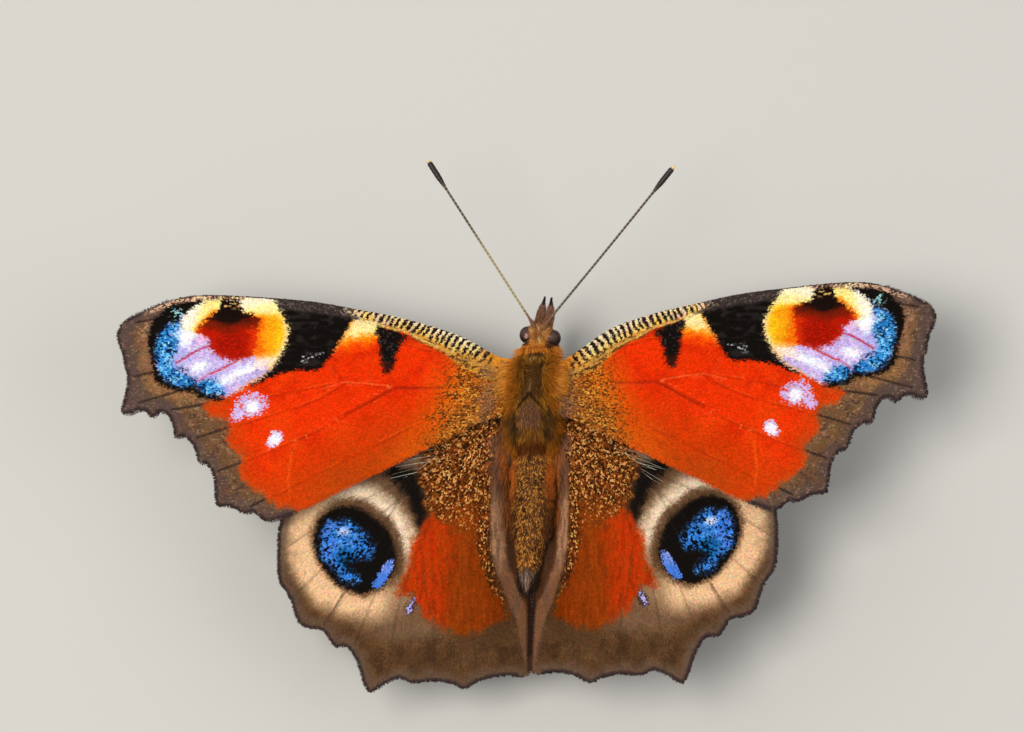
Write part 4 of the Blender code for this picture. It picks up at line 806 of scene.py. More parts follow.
def paint_hindwing(u, v, side, grain):
    """Upper side of a hindwing."""
    canvas = Canvas(u, v, (87, 59, 35), grain)
    canvas.over((108, 76, 48), 0.6 * step(0.5, 0.7, 0.75 * cloud(u, v, 1.0, 111) + 0.25 * grain))
    canvas.over((66, 44, 27), 0.7 * step(0.48, 0.7, 0.75 * cloud(u, v, 0.8, 112) + 0.25 * (1 - grain)))
    canvas.over((130, 98, 72), 0.7 * step(-7.0, -3.0, v + 0.28 * (u - 6.0)))
    canvas.over((132, 100, 74), 0.7 * step(2.4, 1.0, np.hypot((u - 7.6) / 2.4, (v + 14.9) / 1.2)))
    rim = depth_inside(u, v, smooth_line(OUTLINES["hind"], 4, True))
    out = paint_hind_eye(canvas, u, v, grain)
    canvas.over((104, 82, 68), 0.7 * step(1.2, 0.4, rim + 0.4 * (noise(u, v, 0.5, 113) - 0.5)) * step(-5.2, -6.2, v))
    canvas.over((54, 42, 42), 0.9 * step(0.32, 0.08, rim + 0.08 * (grain - 0.5)) * step(-5.2, -6.2, v) * (u > -1.2))
    canvas.shape(HIND_BLACK, (76, 54, 40), 0.9, 0.4, 0.5, 94, 0.6)
    canvas.shape(HIND_BLACK, (20, 15, 12), 0.4, 0.34, 0.5, 114)
    haze = step(1.3, 0.3, np.hypot((u - 7.0) / 2.3, (v + 2.5) / 0.9))
    canvas.over((142, 108, 84), 0.75 * haze)

    rust = canvas.mask(RUST, 0.36, 0.4, 0.6, 115)
    inner = step(5.4, 3.0, u + 0.9 * (cloud(u, v, 0.9, 116) - 0.5) + 0.12 * (v + 11.0))
    shade = np.outer(1 - inner, (190, 50, 3)) + np.outer(inner, (134, 52, 4))
    shade += (np.array((164, 68, 10)) - shade) * (0.45 * step(0.5, 0.75, noise(u * 2.5, v * 0.4, 0.4, 117)))[:, None]
    shade += (np.array((112, 44, 8)) - shade) * (0.4 * step(0.6, 0.8, noise(u * 2.0, v * 0.5, 0.35, 97)))[:, None]
    canvas.over(shade, rust)
    dust = canvas.mask(DUST, 0.35, 0.5, 0.5, 118)
    column = step(2.5, 1.6, u) * step(-13.8, -12.4, v)
    fade = np.maximum(step(-9.6, -4.0, v + 0.35 * (u - 3.5)), 0.85 * column)
    canvas.over((146, 66, 12), 0.85 * dust * step(-11.0, -6.0, v + 0.6 * (u - 3.5)))
    canvas.over((110, 54, 14), dust * fade * 0.7)
    canvas.over((36, 20, 10), 0.9 * dust * fade * step(0.5, 0.6, 0.5 * noise(u, v, 0.15, 119) + 0.5 * grain))
    bright = 0.5 * noise(u, v, 0.16, 96) + 0.5 * (1 - grain)
    canvas.over((196, 122, 54), dust * step(0.58, 0.67, bright * (0.74 + 0.26 * fade)))
    canvas.over((232, 180, 112), dust * fade * step(0.68, 0.75, bright) * 0.7)

    # Painted shade on the strip of the hindwing along its front edge, under the forewing.
    shade_edge_u, shade_edge_v = zip(*HIND_FRONT_EDGE)
    forewing_shade_depth = np.interp(u, shade_edge_u, shade_edge_v) - v
    canvas.over((58, 45, 38), step(0.6, 0.3, forewing_shade_depth) * step(4.0, 5.5, u) * (u < 15.5))
    border_v, border_u = zip(*FOLD_BORDER[::-1])
    border = np.interp(v, border_v, border_u)
    inward = border - u + 0.12 * (noise(u, v, 0.4, 120) - 0.5) + 0.1 * (grain - 0.5)
    strip = step(-0.12, 0.12, inward) * step(-0.4, -1.4, v)
    lower = step(-11.5, -14.5, v)
    tone = np.outer(1 - lower, (136, 91, 61)) + np.outer(lower, (122, 82, 55))
    # Painted highlight along the crest of the fold.
    fold_crest_highlight = step(1.3, 0.6, np.abs(inward - 0.56) * 2) * step(-3.6, -6.0, v) * step(-12.4, -10.0, v)
    tone += (np.array((198, 146, 108)) - tone) * (0.8 * fold_crest_highlight)[:, None]
    # Painted shade on the fold's inner wall beside the abdomen.
    fold_wall_shade = step(1.0, 1.35, inward) * step(-15.5, -13.0, v)
    tone += (np.array((70, 40, 22)) - tone) * (0.9 * fold_wall_shade)[:, None]
    # Painted shadow in the narrow gap where the two hindwings meet behind the abdomen.
    wing_gap_shadow = step(0.42, 0.12, np.abs(u + 2.12)) * step(-12.5, -14.0, v)
    tone += (np.array((40, 24, 16)) - tone) * wing_gap_shadow[:, None]
    tone += (np.array((84, 66, 56)) - tone) * (0.6 * step(0.5, 0.7, noise(u * 2.0, v * 0.3, 0.4, 95)))[:, None] * 0.6
    canvas.over(tone, strip)
    canvas.over((92, 68, 52), 0.5 * strip * step(0.16, 0.0, inward) * (1 - lower))
    faint = 0.22 * (1.0 - 0.5 * step(0.8, 0.1, out)) * (1.0 - dust) * (1.0 - 0.7 * rust) * (1.0 - strip)
    paint_veins(canvas, "hind", (66, 44, 30), faint, 0.09)
    canvas.stroke(((12.5, -13.2), (13.3, -14.5), (14.0, -15.6)), 0.08, (66, 44, 30), 0.5)
    canvas.spot((7.2, -14.3), (0.6, 0.32), -66, (52, 30, 32), 0.35, 0.08, 0.3, 121)
    canvas.spot((7.2, -14.25), (0.4, 0.15), -66, (176, 172, 240), 0.4, 0.05, 0.2, 122)
    return canvas.rgb


def paint_underside(u, v, kind, grain):
    """Near-black underside with fine dark lines across the wing and a lead-grey margin."""
    pole = SCALE_POLE[kind]
    reach = np.hypot(u - pole[0], v - pole[1])
    turn = np.arctan2(v - pole[1], u - pole[0])
    canvas = Canvas(u, v, (60, 48, 42))
    middle = 16.0 if kind == "fore" else 14.5
    edge = reach + 1.2 * np.sin(5.0 * turn) + 0.9 * (cloud(u, v, 1.2, 131) - 0.5)
    canvas.over((34, 26, 24), step(middle + 0.8, middle - 0.4, edge))
    canvas.over((74, 60, 52), 0.8 * step(0.5, 0.8, cloud(u, v, 2.2, 132)) * step(middle, middle + 1.5, edge))
    ripple = noise(reach * 4.2 + 0.8 * np.sin(turn * 9.0), turn * 7.0, 1.0, 133)
    canvas.over((16, 12, 12), 0.85 * step(0.55, 0.72, ripple))
    canvas.over((92, 78, 68), 0.35 * step(0.25, 0.12, ripple))
    rim = depth_inside(u, v, smooth_line(OUTLINES[kind], 4, True))
    canvas.over((78, 76, 88), 0.55 * step(1.9, 1.2, rim) * step(0.6, 0.9, rim))
    canvas.over((26, 20, 22), 0.8 * step(0.5, 0.2, rim))
    if kind == "hind":
        canvas.spot((8.0, -9.6), (0.2, 0.16), 0, (150, 140, 126), 0.3, 0.05)
    else:
        canvas.over((88, 62, 36), 0.7 * step(4.0, 1.0, u) * step(0.45, 0.6, noise(u, v, 0.3, 134)))
    return canvas.rgb


PAINTERS = {"fore": paint_forewing, "hind": paint_hindwing}


def paint_wing(kind, side, under, u, v, grain):
    if under:
        return paint_underside(u, v, kind, grain)
    return PAINTERS[kind](u, v, side, grain)


def attribute_material(name, roughness, specular, bump, bump_size, mottle=0.12):
    """Colour from the mesh's tints, broken by fine procedural mottling, with a fine bump."""
    material = bpy.data.materials.new(name)
    material.use_nodes = True
    tree = material.node_tree
    shader = tree.nodes["Principled BSDF"]
    tint = tree.nodes.new("ShaderNodeAttribute")
    tint.attribute_name = "tint"
    place = tree.nodes.new("ShaderNodeTexCoord")
    grain = tree.nodes.new("ShaderNodeTexNoise")
    grain.inputs["Scale"].default_value = 1.0 / (bump_size * MM)
    grain.inputs["Detail"].default_value = 3.0
    tree.links.new(place.outputs["Object"], grain.inputs["Vector"])
    range_node = tree.nodes.new("ShaderNodeMapRange")
    range_node.inputs["To Min"].default_value = 1.0 - mottle
    range_node.inputs["To Max"].default_value = 1.0 + mottle
    tree.links.new(grain.outputs["Fac"], range_node.inputs["Value"])
    mix = tree.nodes.new("ShaderNodeVectorMath")
    mix.operation = "SCALE"
    tree.links.new(tint.outputs["Color"], mix.inputs[0])
    tree.links.new(range_node.outputs["Result"], mix.inputs["Scale"])
    tree.links.new(mix.outputs["Vector"], shader.inputs["Base Color"])
    relief = tree.nodes.new("ShaderNodeBump")
    relief.inputs["Strength"].default_value = bump
    relief.inputs["Distance"].default_value = 0.02 * MM
    tree.links.new(grain.outputs["Fac"], relief.inputs["Height"])
    tree.links.new(relief.outputs["Normal"], shader.inputs["Normal"])
    wear = tree.nodes.new("ShaderNodeMapRange")
    wear.inputs["To Min"].default_value = roughness - 0.12
    wear.inputs["To Max"].default_value = roughness + 0.12
    tree.links.new(grain.outputs["Fac"], wear.inputs["Value"])
    tree.links.new(wear.outputs["Result"], shader.inputs["Roughness"])
    shader.inputs["Specular IOR Level"].default_value = specular
    return material


def wing_skin(wing, material):
    """The closed thin membrane of one wing, with its veins raised on both faces."""
    rim = [Vector(point) for point in smooth_line(OUTLINES[wing.kind], 5, True)]
    low = wing.outline.min(0)
    high = wing.outline.max(0)
    rows = np.arange(low[1], high[1], SKIN_GRID * 0.87)
    grid = []
    for k, v in enumerate(rows):
        shift = 0.5 * SKIN_GRID * (k % 2)
        us = np.arange(low[0] + shift, high[0], SKIN_GRID)
        grid.append(np.column_stack((us, np.full(len(us), v))))
    grid = np.vstack(grid)
    grid = grid[depth_inside(grid[:, 0], grid[:, 1], wing.outline) > SKIN_RIM]
    points = rim + [Vector(point) for point in grid]
    result = delaunay_2d_cdt(points, [], [list(range(len(rim)))], 1, 1e-5)
    plan = np.array([tuple(point) for point in result[0]])
    triangles = np.array(result[2])
    u, v = plan[:, 0], plan[:, 1]
    a, b, c = (plan[triangles[:, k]] for k in range(3))
    turning = (b[:, 0] - a[:, 0]) * (c[:, 1] - a[:, 1]) - (b[:, 1] - a[:, 1]) * (c[:, 0] - a[:, 0])
    triangles[turning < 0] = triangles[turning < 0][:, ::-1]
    if wing.side == "left":
        triangles = triangles[:, ::-1]
    relief = vein_relief(wing.kind, u, v)
    top = wing.place(u, v, MEMBRANE_HALF + relief)
    bottom = wing.place(u, v, -MEMBRANE_HALF - relief)
    count = len(u)
    ends = np.concatenate([triangles[:, [0, 1]], triangles[:, [1, 2]], triangles[:, [2, 0]]])
    seen = {tuple(end) for end in ends}
    border = np.array([end for end in ends if (end[1], end[0]) not in seen])
    wall = np.concatenate(
        [
            np.column_stack((border[:, 1], border[:, 0], border[:, 0] + count)),
            np.column_stack((border[:, 1], border[:, 0] + count, border[:, 1] + count)),
        ]
    )
    faces = np.concatenate([triangles, triangles[:, ::-1] + count, wall])
    name = "%swing_membrane_%s" % (wing.kind, wing.side)
    piece = new_piece(name, np.vstack((top, bottom)), faces, material)
    grain = np.full(count, 0.5)
    tints = [paint_wing(wing.kind, wing.side, under, u, v, grain) for under in (False, True)]
    set_tints(piece, np.vstack(tints))
    places = wing.unwrap(u, v) * (1.0, 0.5)
    set_unwrap(piece, np.vstack((places, places + (0.0, 0.5))), faces)
    finish_piece(piece, wing.kind + "wing_scales", "%swing_%s" % (wing.kind, wing.side))
    return piece


def scale_roots(wing, row, spacing, random):
    """Roots of scales in rows that circle the wing's pole, and the direction that each points."""
    pole = SCALE_POLE[wing.kind]
    reach = np.hypot(wing.outline[:, 0] - pole[0], wing.outline[:, 1] - pole[1])
    turns = np.arctan2(wing.outline[:, 1] - pole[1], wing.outline[:, 0] - pole[0])
    roots = []
    for r in np.arange(1.0, reach.max(), row):
        count = int((turns.max() - turns.min()) * r / spacing) + 1
        angles = np.linspace(turns.min(), turns.max(), count) + random.uniform(0, spacing / r)
        jitter = random.normal(0.0, 0.12, (count, 2)) * (row, spacing / r)
        roots.append(np.column_stack((r + jitter[:, 0], angles + jitter[:, 1])))
    roots = np.vstack(roots)
    u = pole[0] + roots[:, 0] * np.cos(roots[:, 1])
    v = pole[1] + roots[:, 0] * np.sin(roots[:, 1])
    keep = depth_inside(u, v, wing.outline) > 0.03
    return u[keep], v[keep], roots[keep, 1]


SCALE_SHAPE = np.array(((0.0, -0.3), (0.0, 0.3), (0.62, 0.5), (1.0, 0.06), (0.66, -0.5)))
SCALE_FACES = np.array(((0, 1, 2), (0, 2, 4), (4, 2, 3)))


def lay_scales(name, wing, under, u, v, turn, length, width, lift, rgb, material):
    """Joined overlapping scales on one face of a wing."""
    count = len(u)
    along = SCALE_SHAPE[:, 0][None, :] * length[:, None]
    across = SCALE_SHAPE[:, 1][None, :] * width[:, None]
    pu = u[:, None] + along * np.cos(turn)[:, None] - across * np.sin(turn)[:, None]
    pv = v[:, None] + along * np.sin(turn)[:, None] + across * np.cos(turn)[:, None]
    flat_u, flat_v = pu.ravel(), pv.ravel()
    rise = MEMBRANE_HALF + vein_relief(wing.kind, flat_u, flat_v) + 0.004
    tilt = (SCALE_SHAPE[:, 0][None, :] * lift[:, 0:1] + SCALE_SHAPE[:, 1][None, :] * lift[:, 1:2]).ravel()
    rise = rise + np.maximum(tilt, 0.0)
    if under:
        rise = -rise
    points = wing.place(flat_u, flat_v, rise)
    faces = (SCALE_FACES[None, :, :] + (5 * np.arange(count))[:, None, None]).reshape(-1, 3)
    if (wing.side == "left") != under:
        faces = faces[:, ::-1]
    piece = new_piece(name, points, faces, material, smooth=False)
    set_tints(piece, np.repeat(rgb, 5, axis=0))
    spread = np.tile((SCALE_SHAPE - (0.5, 0.0)) * PATCH, (count, 1))
    set_unwrap(piece, np.repeat(wing.unwrap(u, v), 5, axis=0) + spread, faces)
    finish_piece(piece, wing.kind + "wing_scales")
    return piece


def wing_scales(wing, under, material, seed):
    """The scales of one face of one wing, and the fringe along its margin."""
    random = np.random.default_rng(seed)
    coarser = UNDER_COARSER if under else 1.0
    u, v, turn = scale_roots(wing, SCALE_ROW * coarser, SCALE_STEP * coarser, random)
    length = SCALE_LENGTH * coarser * random.uniform(0.85, 1.15, len(u))
    width = SCALE_WIDTH * coarser * random.uniform(0.85, 1.15, len(u))
    turn = turn + random.normal(0.0, 0.07, len(u))
    lift = np.column_stack((SCALE_LIFT * random.uniform(0.4, 1.5, len(u)), random.normal(0.0, 0.016, len(u))))
    grain = random.uniform(0.0, 1.0, len(u))
    if not under:
        margin = smooth_line(OUTLINES[wing.kind], 40, True)
        gaps = np.linalg.norm(np.diff(margin, axis=0), axis=1)
        places = np.arange(0.0, gaps.sum(), 0.085)
        run = np.concatenate(((0.0,), np.cumsum(gaps)))
        fu = np.interp(places, run, margin[:, 0])
        fv = np.interp(places, run, margin[:, 1])
        ahead = np.column_stack((np.interp(places + 0.3, run, margin[:, 0]), np.interp(places + 0.3, run, margin[:, 1])))
        away = np.arctan2(ahead[:, 1] - fv, ahead[:, 0] - fu) + math.pi / 2
        outer = fu > (2.5 if wing.kind == "fore" else -9.0)
        fu, fv, away = fu[outer], fv[outer], away[outer]
        count = len(fu)
        u = np.concatenate((u, fu - 0.05 * np.cos(away)))
        v = np.concatenate((v, fv - 0.05 * np.sin(away)))
        turn = np.concatenate((turn, away + random.normal(0.0, 0.15, count)))
        front = (fv > 0.28 * fu - 1.5) & (wing.kind == "fore")
        length = np.concatenate((length, np.where(front, 0.1, random.uniform(0.24, 0.36, count))))
        width = np.concatenate((width, random.uniform(0.06, 0.1, count)))
        lift = np.concatenate((lift, random.normal(0.0, 0.02, (count, 2))))
        grain = np.concatenate((grain, random.uniform(0.0, 1.0, count)))
    rgb = paint_wing(wing.kind, wing.side, under, u, v, grain)
    rgb = rgb * (1.0 + 0.16 * (random.uniform(0.0, 1.0, (len(u), 1)) - 0.5))
    rgb = rgb * (1.0 + 0.05 * random.normal(0.0, 1.0, (len(u), 3)).clip(-1.5, 1.5))
    name = "%swing_scales_%s_%s" % (wing.kind, "under" if under else "upper", wing.side)
    return lay_scales(name, wing, under, u, v, turn, length, width, lift, rgb, material)


# Body.


def ring_body(stations, sides=40):
    """Points and quads of a closed tube through rings of (centre, half width, up, down)."""
    angles = 2 * math.pi * np.arange(sides) / sides
    rise = np.sin(angles)
    rings = []
    for centre, half, up, down in stations:
        ring = np.tile(np.array(centre, float), (sides, 1))
        ring[:, 0] += half * np.cos(angles)
        ring[:, 2] += np.where(rise > 0, up, down) * rise
        rings.append(ring)
    points = np.vstack(rings)
    a = np.arange(sides)
    b = (a + 1) % sides
    quads = []
    for k in range(len(stations) - 1):
        quads.append(np.column_stack((a, b, b + sides, a + sides)) + k * sides)
    return points, np.vstack(quads)


def barrel(front, rear, half_width, top, bottom, power, grow, count=24):
    """Stations of an egg-shaped body along the body line."""
    middle = 0.5 * (top + bottom)
    half_height = 0.5 * (top - bottom) + grow
    stations = []
    for k in range(count + 1):
        angle = math.pi * min(max(k / count, 0.004), 0.996)
        y = 0.5 * (front + rear) + (0.5 * (front - rear) + grow) * math.cos(angle)
        swell = math.sin(angle) ** power
        centre = (body_line(y), y, middle)
        stations.append((centre, (half_width + grow) * swell, half_height * swell, half_height * swell))
    return stations


def abdomen_stations(grow):
    """Eight segments with a shallow groove between each two, tapering to a blunt tip."""
    front, rear, half_width, segments = -6.2, -18.1, 1.5, 8
    count = segments * 8
    stations = []
    for k in range(count + 1):
        t = min(max(k / count, 0.002), 0.998)
        y = front + grow - (front - rear + 2 * grow) * t
        front_round = math.sin(min(1.0, t / 0.16) * math.pi / 2) ** 0.6
        taper = 1.0 - 0.42 * float(step(0.45, 1.0, t))
        tip = math.sqrt(max(0.0, 1.0 - max(0.0, (t - 0.86) / 0.14) ** 2))
        groove = 1.0 - 0.07 * (0.5 + 0.5 * math.cos(2 * math.pi * t * segments)) ** 3
        half = half_width * taper * front_round * tip * groove + grow * front_round * tip
        level = -0.75 - 0.75 * t
        stations.append(((body_line(y), y, level), half, half * 0.98, half * 1.08))
    return stations


def ball(centre, half, yaw=0.0, sides=40, rings=24):
    """Points and quads of an ellipsoid that is open by a pin-hole at its two ends."""
    stations = []
    for k in range(rings + 1):
        angle = math.pi * min(max(k / rings, 0.004), 0.996)
        stations.append(((0.0, half[1] * math.cos(angle), 0.0), half[0] * math.sin(angle), *(half[2] * math.sin(angle),) * 2))
    points, quads = ring_body(stations, sides)
    cosine, sine = math.cos(yaw), math.sin(yaw)
    turned = points.copy()
    turned[:, 0] = points[:, 0] * cosine - points[:, 1] * sine
    turned[:, 1] = points[:, 0] * sine + points[:, 1] * cosine
    return turned + centre, quads


def body_skin(material):
    """One skin over head, neck, thorax and abdomen, a little inside the solids it replaces."""
    parts = [
        ring_body(barrel(0.35, -7.5, 2.15, 1.75, -3.15, 0.62, -0.28)),
        ring_body(barrel(1.35, -0.6, 1.45, 1.0, -1.75, 0.4, -0.22)),
        ring_body(abdomen_stations(-0.1)),
        ball(HEAD_CENTRE, HEAD_HALF - 0.12, HEAD_YAW),
        ball(np.array((0.75, 1.35, -0.4)), np.array((1.25, 0.85, 0.95))),
        ball(head_place((0.0, 0.5, -0.35)), np.array((0.62, 0.75, 0.6)), HEAD_YAW),
    ]
    for sign in (-1.0, 1.0):
        centre = np.array((body_line(-1.25) + sign * 1.5, -1.25, 1.15))
        parts.append(ball(centre, np.array((0.68, 1.25, 0.34)), math.radians(sign * 12.0)))
    shell = bmesh.new()
    for points, quads in parts:
        corners = [shell.verts.new((point + STANCE) * MM) for point in points]
        for quad in quads:
            shell.faces.new([corners[k] for k in quad])
    loose = [edge for edge in shell.edges if edge.is_boundary]
    bmesh.ops.holes_fill(shell, edges=loose, sides=0)
    bmesh.ops.recalc_face_normals(shell, faces=shell.faces)
    mesh = bpy.data.meshes.new("body_rough")
    shell.to_mesh(mesh)
    shell.free()
    rough = bpy.data.objects.new("body_rough", mesh)
    bpy.context.scene.collection.objects.link(rough)
    remesh = rough.modifiers.new("one_skin", "REMESH")
    remesh.mode = "VOXEL"
    remesh.voxel_size = 0.11 * MM
    relax = rough.modifiers.new("relax", "SMOOTH")
    relax.factor = 0.6
    relax.iterations = 10
    bpy.context.view_layer.update()
    graph = bpy.context.evaluated_depsgraph_get()
    skin = bpy.data.meshes.new_from_object(rough.evaluated_get(graph))
    bpy.data.objects.remove(rough, do_unlink=True)
    skin.name = "body_skin"
    skin.materials.clear()
    skin.materials.append(material)
    skin.shade_smooth()
    piece = bpy.data.objects.new("body_skin", skin)
    bpy.context.scene.collection.objects.link(piece)
    points = np.empty(len(skin.vertices) * 3, np.float32)
    skin.vertices.foreach_get("co", points)
    points = points.reshape(-1, 3).astype(float) / MM - STANCE
    # The skin takes the hair roots' painted shade: its colours are darkened to 0.62 of the fur's.
    set_tints(piece, paint_body(points) * 0.62)
    finish_piece(piece, "thorax_fur", "head", "prothorax", "thorax", "abdomen")
    return piece


def paint_body(points, grain=None):
    """Colours of fur and skin over the body, from the head to the abdomen's tip."""
    x = points[:, 0] - body_line(points[:, 1])
    y = points[:, 1]
    z = points[:, 2]
    side = np.abs(x)
    mid = np.abs(x + 0.12)
    if grain is None:
        grain = np.full(len(x), 0.5)
    canvas = Canvas(x, y, (174, 114, 32))
    streak = noise(x * 2.4, y * 0.7, 0.4, 140)
    canvas.over((116, 80, 24), 0.6 * step(0.42, 0.75, 0.6 * cloud(x, y, 0.5, 141) + 0.4 * streak))
    canvas.over((172, 100, 20), 0.85 * step(1.05, 1.55, side + 0.5 * (cloud(x, y, 0.6, 142) - 0.5)))
    canvas.over((96, 62, 28), 0.8 * step(1.1, 0.6, side) * step(0.3, -0.3, y) * step(-3.4, -2.6, y))
    dark = step(1.0, 0.4, np.hypot((side - 1.45) / 0.62, (y + 5.3) / 1.7))
    canvas.over((84, 58, 28), 0.75 * dark)
    mottle = step(0.5, 0.62, cloud(x, y, 0.45, 147)) * step(-3.8, -4.6, y) * step(-6.6, -6.1, y)
    canvas.over((66, 46, 24), 0.6 * mottle)
    canvas.over((140, 94, 62), step(1.05, 0.75, mid) * step(-2.8, -3.3, y + 1.0 * mid) * step(-5.7, -5.1, y))
    canvas.over((164, 130, 86), 0.8 * step(0.13, 0.04, mid) * step(-2.6, -2.3, y) * step(-1.3, -1.7, y))
    canvas.over((44, 28, 16), 0.9 * step(0.24, 0.06, np.abs(y + 2.6 + 1.15 * mid)) * step(1.15, 0.95, mid))
    canvas.over((150, 92, 30), 0.8 * step(0.95, 0.6, side) * step(-5.2, -5.6, y))
    canvas.over((92, 42, 12), 0.75 * step(-6.2, -6.7, y) * step(1.5, 1.1, side))
    canvas.over((255, 156, 62), step(1.75, 2.2, side) * step(0.15, 0.4, grain) * step(-3.6, -2.6, y))

    collar = step(0.45, 0.8, y)
    canvas.over((234, 140, 46), collar)
    canvas.over((60, 34, 14), 0.9 * step(0.2, 0.05, np.abs(y - 0.62)) * step(0.75, 0.4, side))
    canvas.over((170, 128, 70), 0.7 * step(0.16, 0.05, np.abs(y - 0.36)) * step(0.8, 0.5, side))
    head = step(1.45, 1.85, y)
    ahead = step(2.2, 3.4, y)
    canvas.over((214, 142, 72), head)
    canvas.over((154, 106, 74), head * ahead)
    canvas.over((122, 72, 40), 0.5 * head * step(0.45, 0.7, 0.6 * cloud(x, y, 0.4, 143) + 0.4 * grain))
    canvas.over((238, 194, 116), head * step(0.7, 0.82, 0.65 * noise(x, y, 0.28, 144) + 0.35 * grain) * step(3.4, 3.0, y))

    local = head_frame(points)
    cheek = step(0.6, 0.3, np.hypot((np.abs(local[:, 0]) - 1.0) / 0.8, local[:, 1] + 0.72))
    canvas.over((76, 46, 30), 0.85 * cheek)

    abdomen = step(-6.9, -7.6, y)
    belly = Canvas(x, y, (136, 78, 28))
    fine = 0.45 * noise(x, y, 0.16, 145) + 0.55 * grain
    belly.over((50, 28, 12), 0.9 * step(0.5, 0.4, fine))
    belly.over((132, 96, 70), 0.8 * step(0.06, 0.02, np.abs(fine - 0.5)))
    gold = 0.45 * noise(x + 9.0, y, 0.17, 146) + 0.55 * (1.0 - grain)
    belly.over((246, 164, 68), 0.95 * step(0.56, 0.66, gold) * step(1.5, 1.1, side))
    belly.over((214, 110, 36), 0.8 * step(1.05, 1.35, side) * step(-12.5, -9.0, y))
    belly.over((96, 56, 30), 0.8 * step(1.0, 1.3, side) * step(-10.5, -13.5, y))
    tail = step(-15.9, -16.6, y + 0.2 * side)
    belly.over((128, 104, 90), 0.9 * tail)
    belly.over((170, 148, 130), 0.6 * tail * step(0.22, 0.05, side))
    belly.over((38, 24, 16), 0.9 * step(-0.12, 0.16, side - 1.0 - 0.42 * (y + 15.7)) * step(-14.6, -15.6, y))
    canvas.over(belly.rgb, abdomen)
    canvas.over((66, 44, 30), 0.75 * step(-0.6, -1.7, z))
    return canvas.rgb


HAIR_RING = np.array(((1.0, 0.0), (-0.5, 0.866), (-0.5, -0.866)))


def hair_faces():
    faces = []
    for low in (0, 3):
        for k in range(3):
            a, b = low + k, low + (k + 1) % 3
            faces += [(a, b, b + 3), (a, b + 3, a + 3)]
    return np.array(faces[:12] + [(6, 7, 9), (7, 8, 9), (8, 6, 9)])


HAIR_FACES = hair_faces()


def hairs(name, roots, lies, normals, lengths, widths, lift, bend, rgb, places, material, slot):
    """Joined tapering hairs. Each starts lifted from the surface and bends over toward its lie."""
    count = len(roots)
    lies = lies - normals * (lies * normals).sum(1)[:, None]
    lies /= np.linalg.norm(lies, axis=1)[:, None] + 1e-9
    across = np.cross(normals, lies)
    lift = np.broadcast_to(lift, count)[:, None]
    bend = np.broadcast_to(bend, count)[:, None]
    start = lies * np.cos(lift) + normals * np.sin(lift)
    points = np.empty((count, 10, 3))
    for ring, t, size in ((0, -0.08, 1.0), (1, 0.38, 0.85), (2, 0.72, 0.55)):
        spine = roots + lengths[:, None] * (start * t - normals * bend * t * t)
        for k, (a, b) in enumerate(HAIR_RING):
            points[:, ring * 3 + k] = spine + widths[:, None] * size * (across * a + normals * b)
    points[:, 9] = roots + lengths[:, None] * (start - normals * bend)
    points[:, :, 2] = np.maximum(points[:, :, 2], FLOOR + 0.004)
    faces = (HAIR_FACES[None, :, :] + (10 * np.arange(count))[:, None, None]).reshape(-1, 3)
    piece = new_piece(name, points.reshape(-1, 3), faces, material)
    # Painted shade toward each hair's root and painted light toward its tip.
    shade = np.repeat((0.62, 0.9, 1.06, 1.2), (3, 3, 3, 1))
    set_tints(piece, (rgb[:, None, :] * shade[None, :, None]).reshape(-1, 3))
    heights_on_patch = np.repeat((0.0, 0.35, 0.7, 1.0), (3, 3, 3, 1))
    sideways = np.array((0, 0.5, 1, 0, 0.5, 1, 0, 0.5, 1, 0.5))
    spread = (np.column_stack((sideways, heights_on_patch)) - 0.5) * PATCH
    set_unwrap(piece, (places[:, None, :] + spread[None, :, :]).reshape(-1, 2), faces)
    finish_piece(piece, slot)
    return piece


def mesh_samples(piece, count, random, keep):
    """Places spread evenly over the part of a mesh that keep() accepts, with normals."""
    mesh = piece.data
    mesh.calc_loop_triangles()
    points = np.empty(len(mesh.vertices) * 3, np.float32)
    mesh.vertices.foreach_get("co", points)
    points = points.reshape(-1, 3).astype(float) / MM - STANCE
    normals = np.empty(len(mesh.vertices) * 3, np.float32)
    mesh.vertices.foreach_get("normal", normals)
    normals = normals.reshape(-1, 3).astype(float)
    faces = np.empty(len(mesh.loop_triangles) * 3, np.int32)
    mesh.loop_triangles.foreach_get("vertices", faces)
    faces = faces.reshape(-1, 3)
    middles = points[faces].mean(1)
    faces = faces[keep(middles)]
    a, b, c = (points[faces[:, k]] for k in range(3))
    area = 0.5 * np.linalg.norm(np.cross(b - a, c - a), axis=1)
    picked = random.choice(len(faces), count, p=area / area.sum())
    s, t = random.uniform(0, 1, (2, count))
    over = s + t > 1
    s[over], t[over] = 1 - s[over], 1 - t[over]
    faces = faces[picked]
    weights = np.column_stack((1 - s - t, s, t))
    places = (points[faces] * weights[:, :, None]).sum(1)
    facing = (normals[faces] * weights[:, :, None]).sum(1)
    facing /= np.linalg.norm(facing, axis=1)[:, None] + 1e-9
    return places, facing


def body_unwrap(points):
    """Places of body points on a cylinder's unwrap, from the abdomen's tip to the head."""
    low, length = BODY_UNWRAP
    turn = np.arctan2(points[:, 0] - body_line(points[:, 1]), points[:, 2] + 0.7)
    return np.column_stack((0.5 + turn / (2 * math.pi) * 0.98, (points[:, 1] - low) / length))


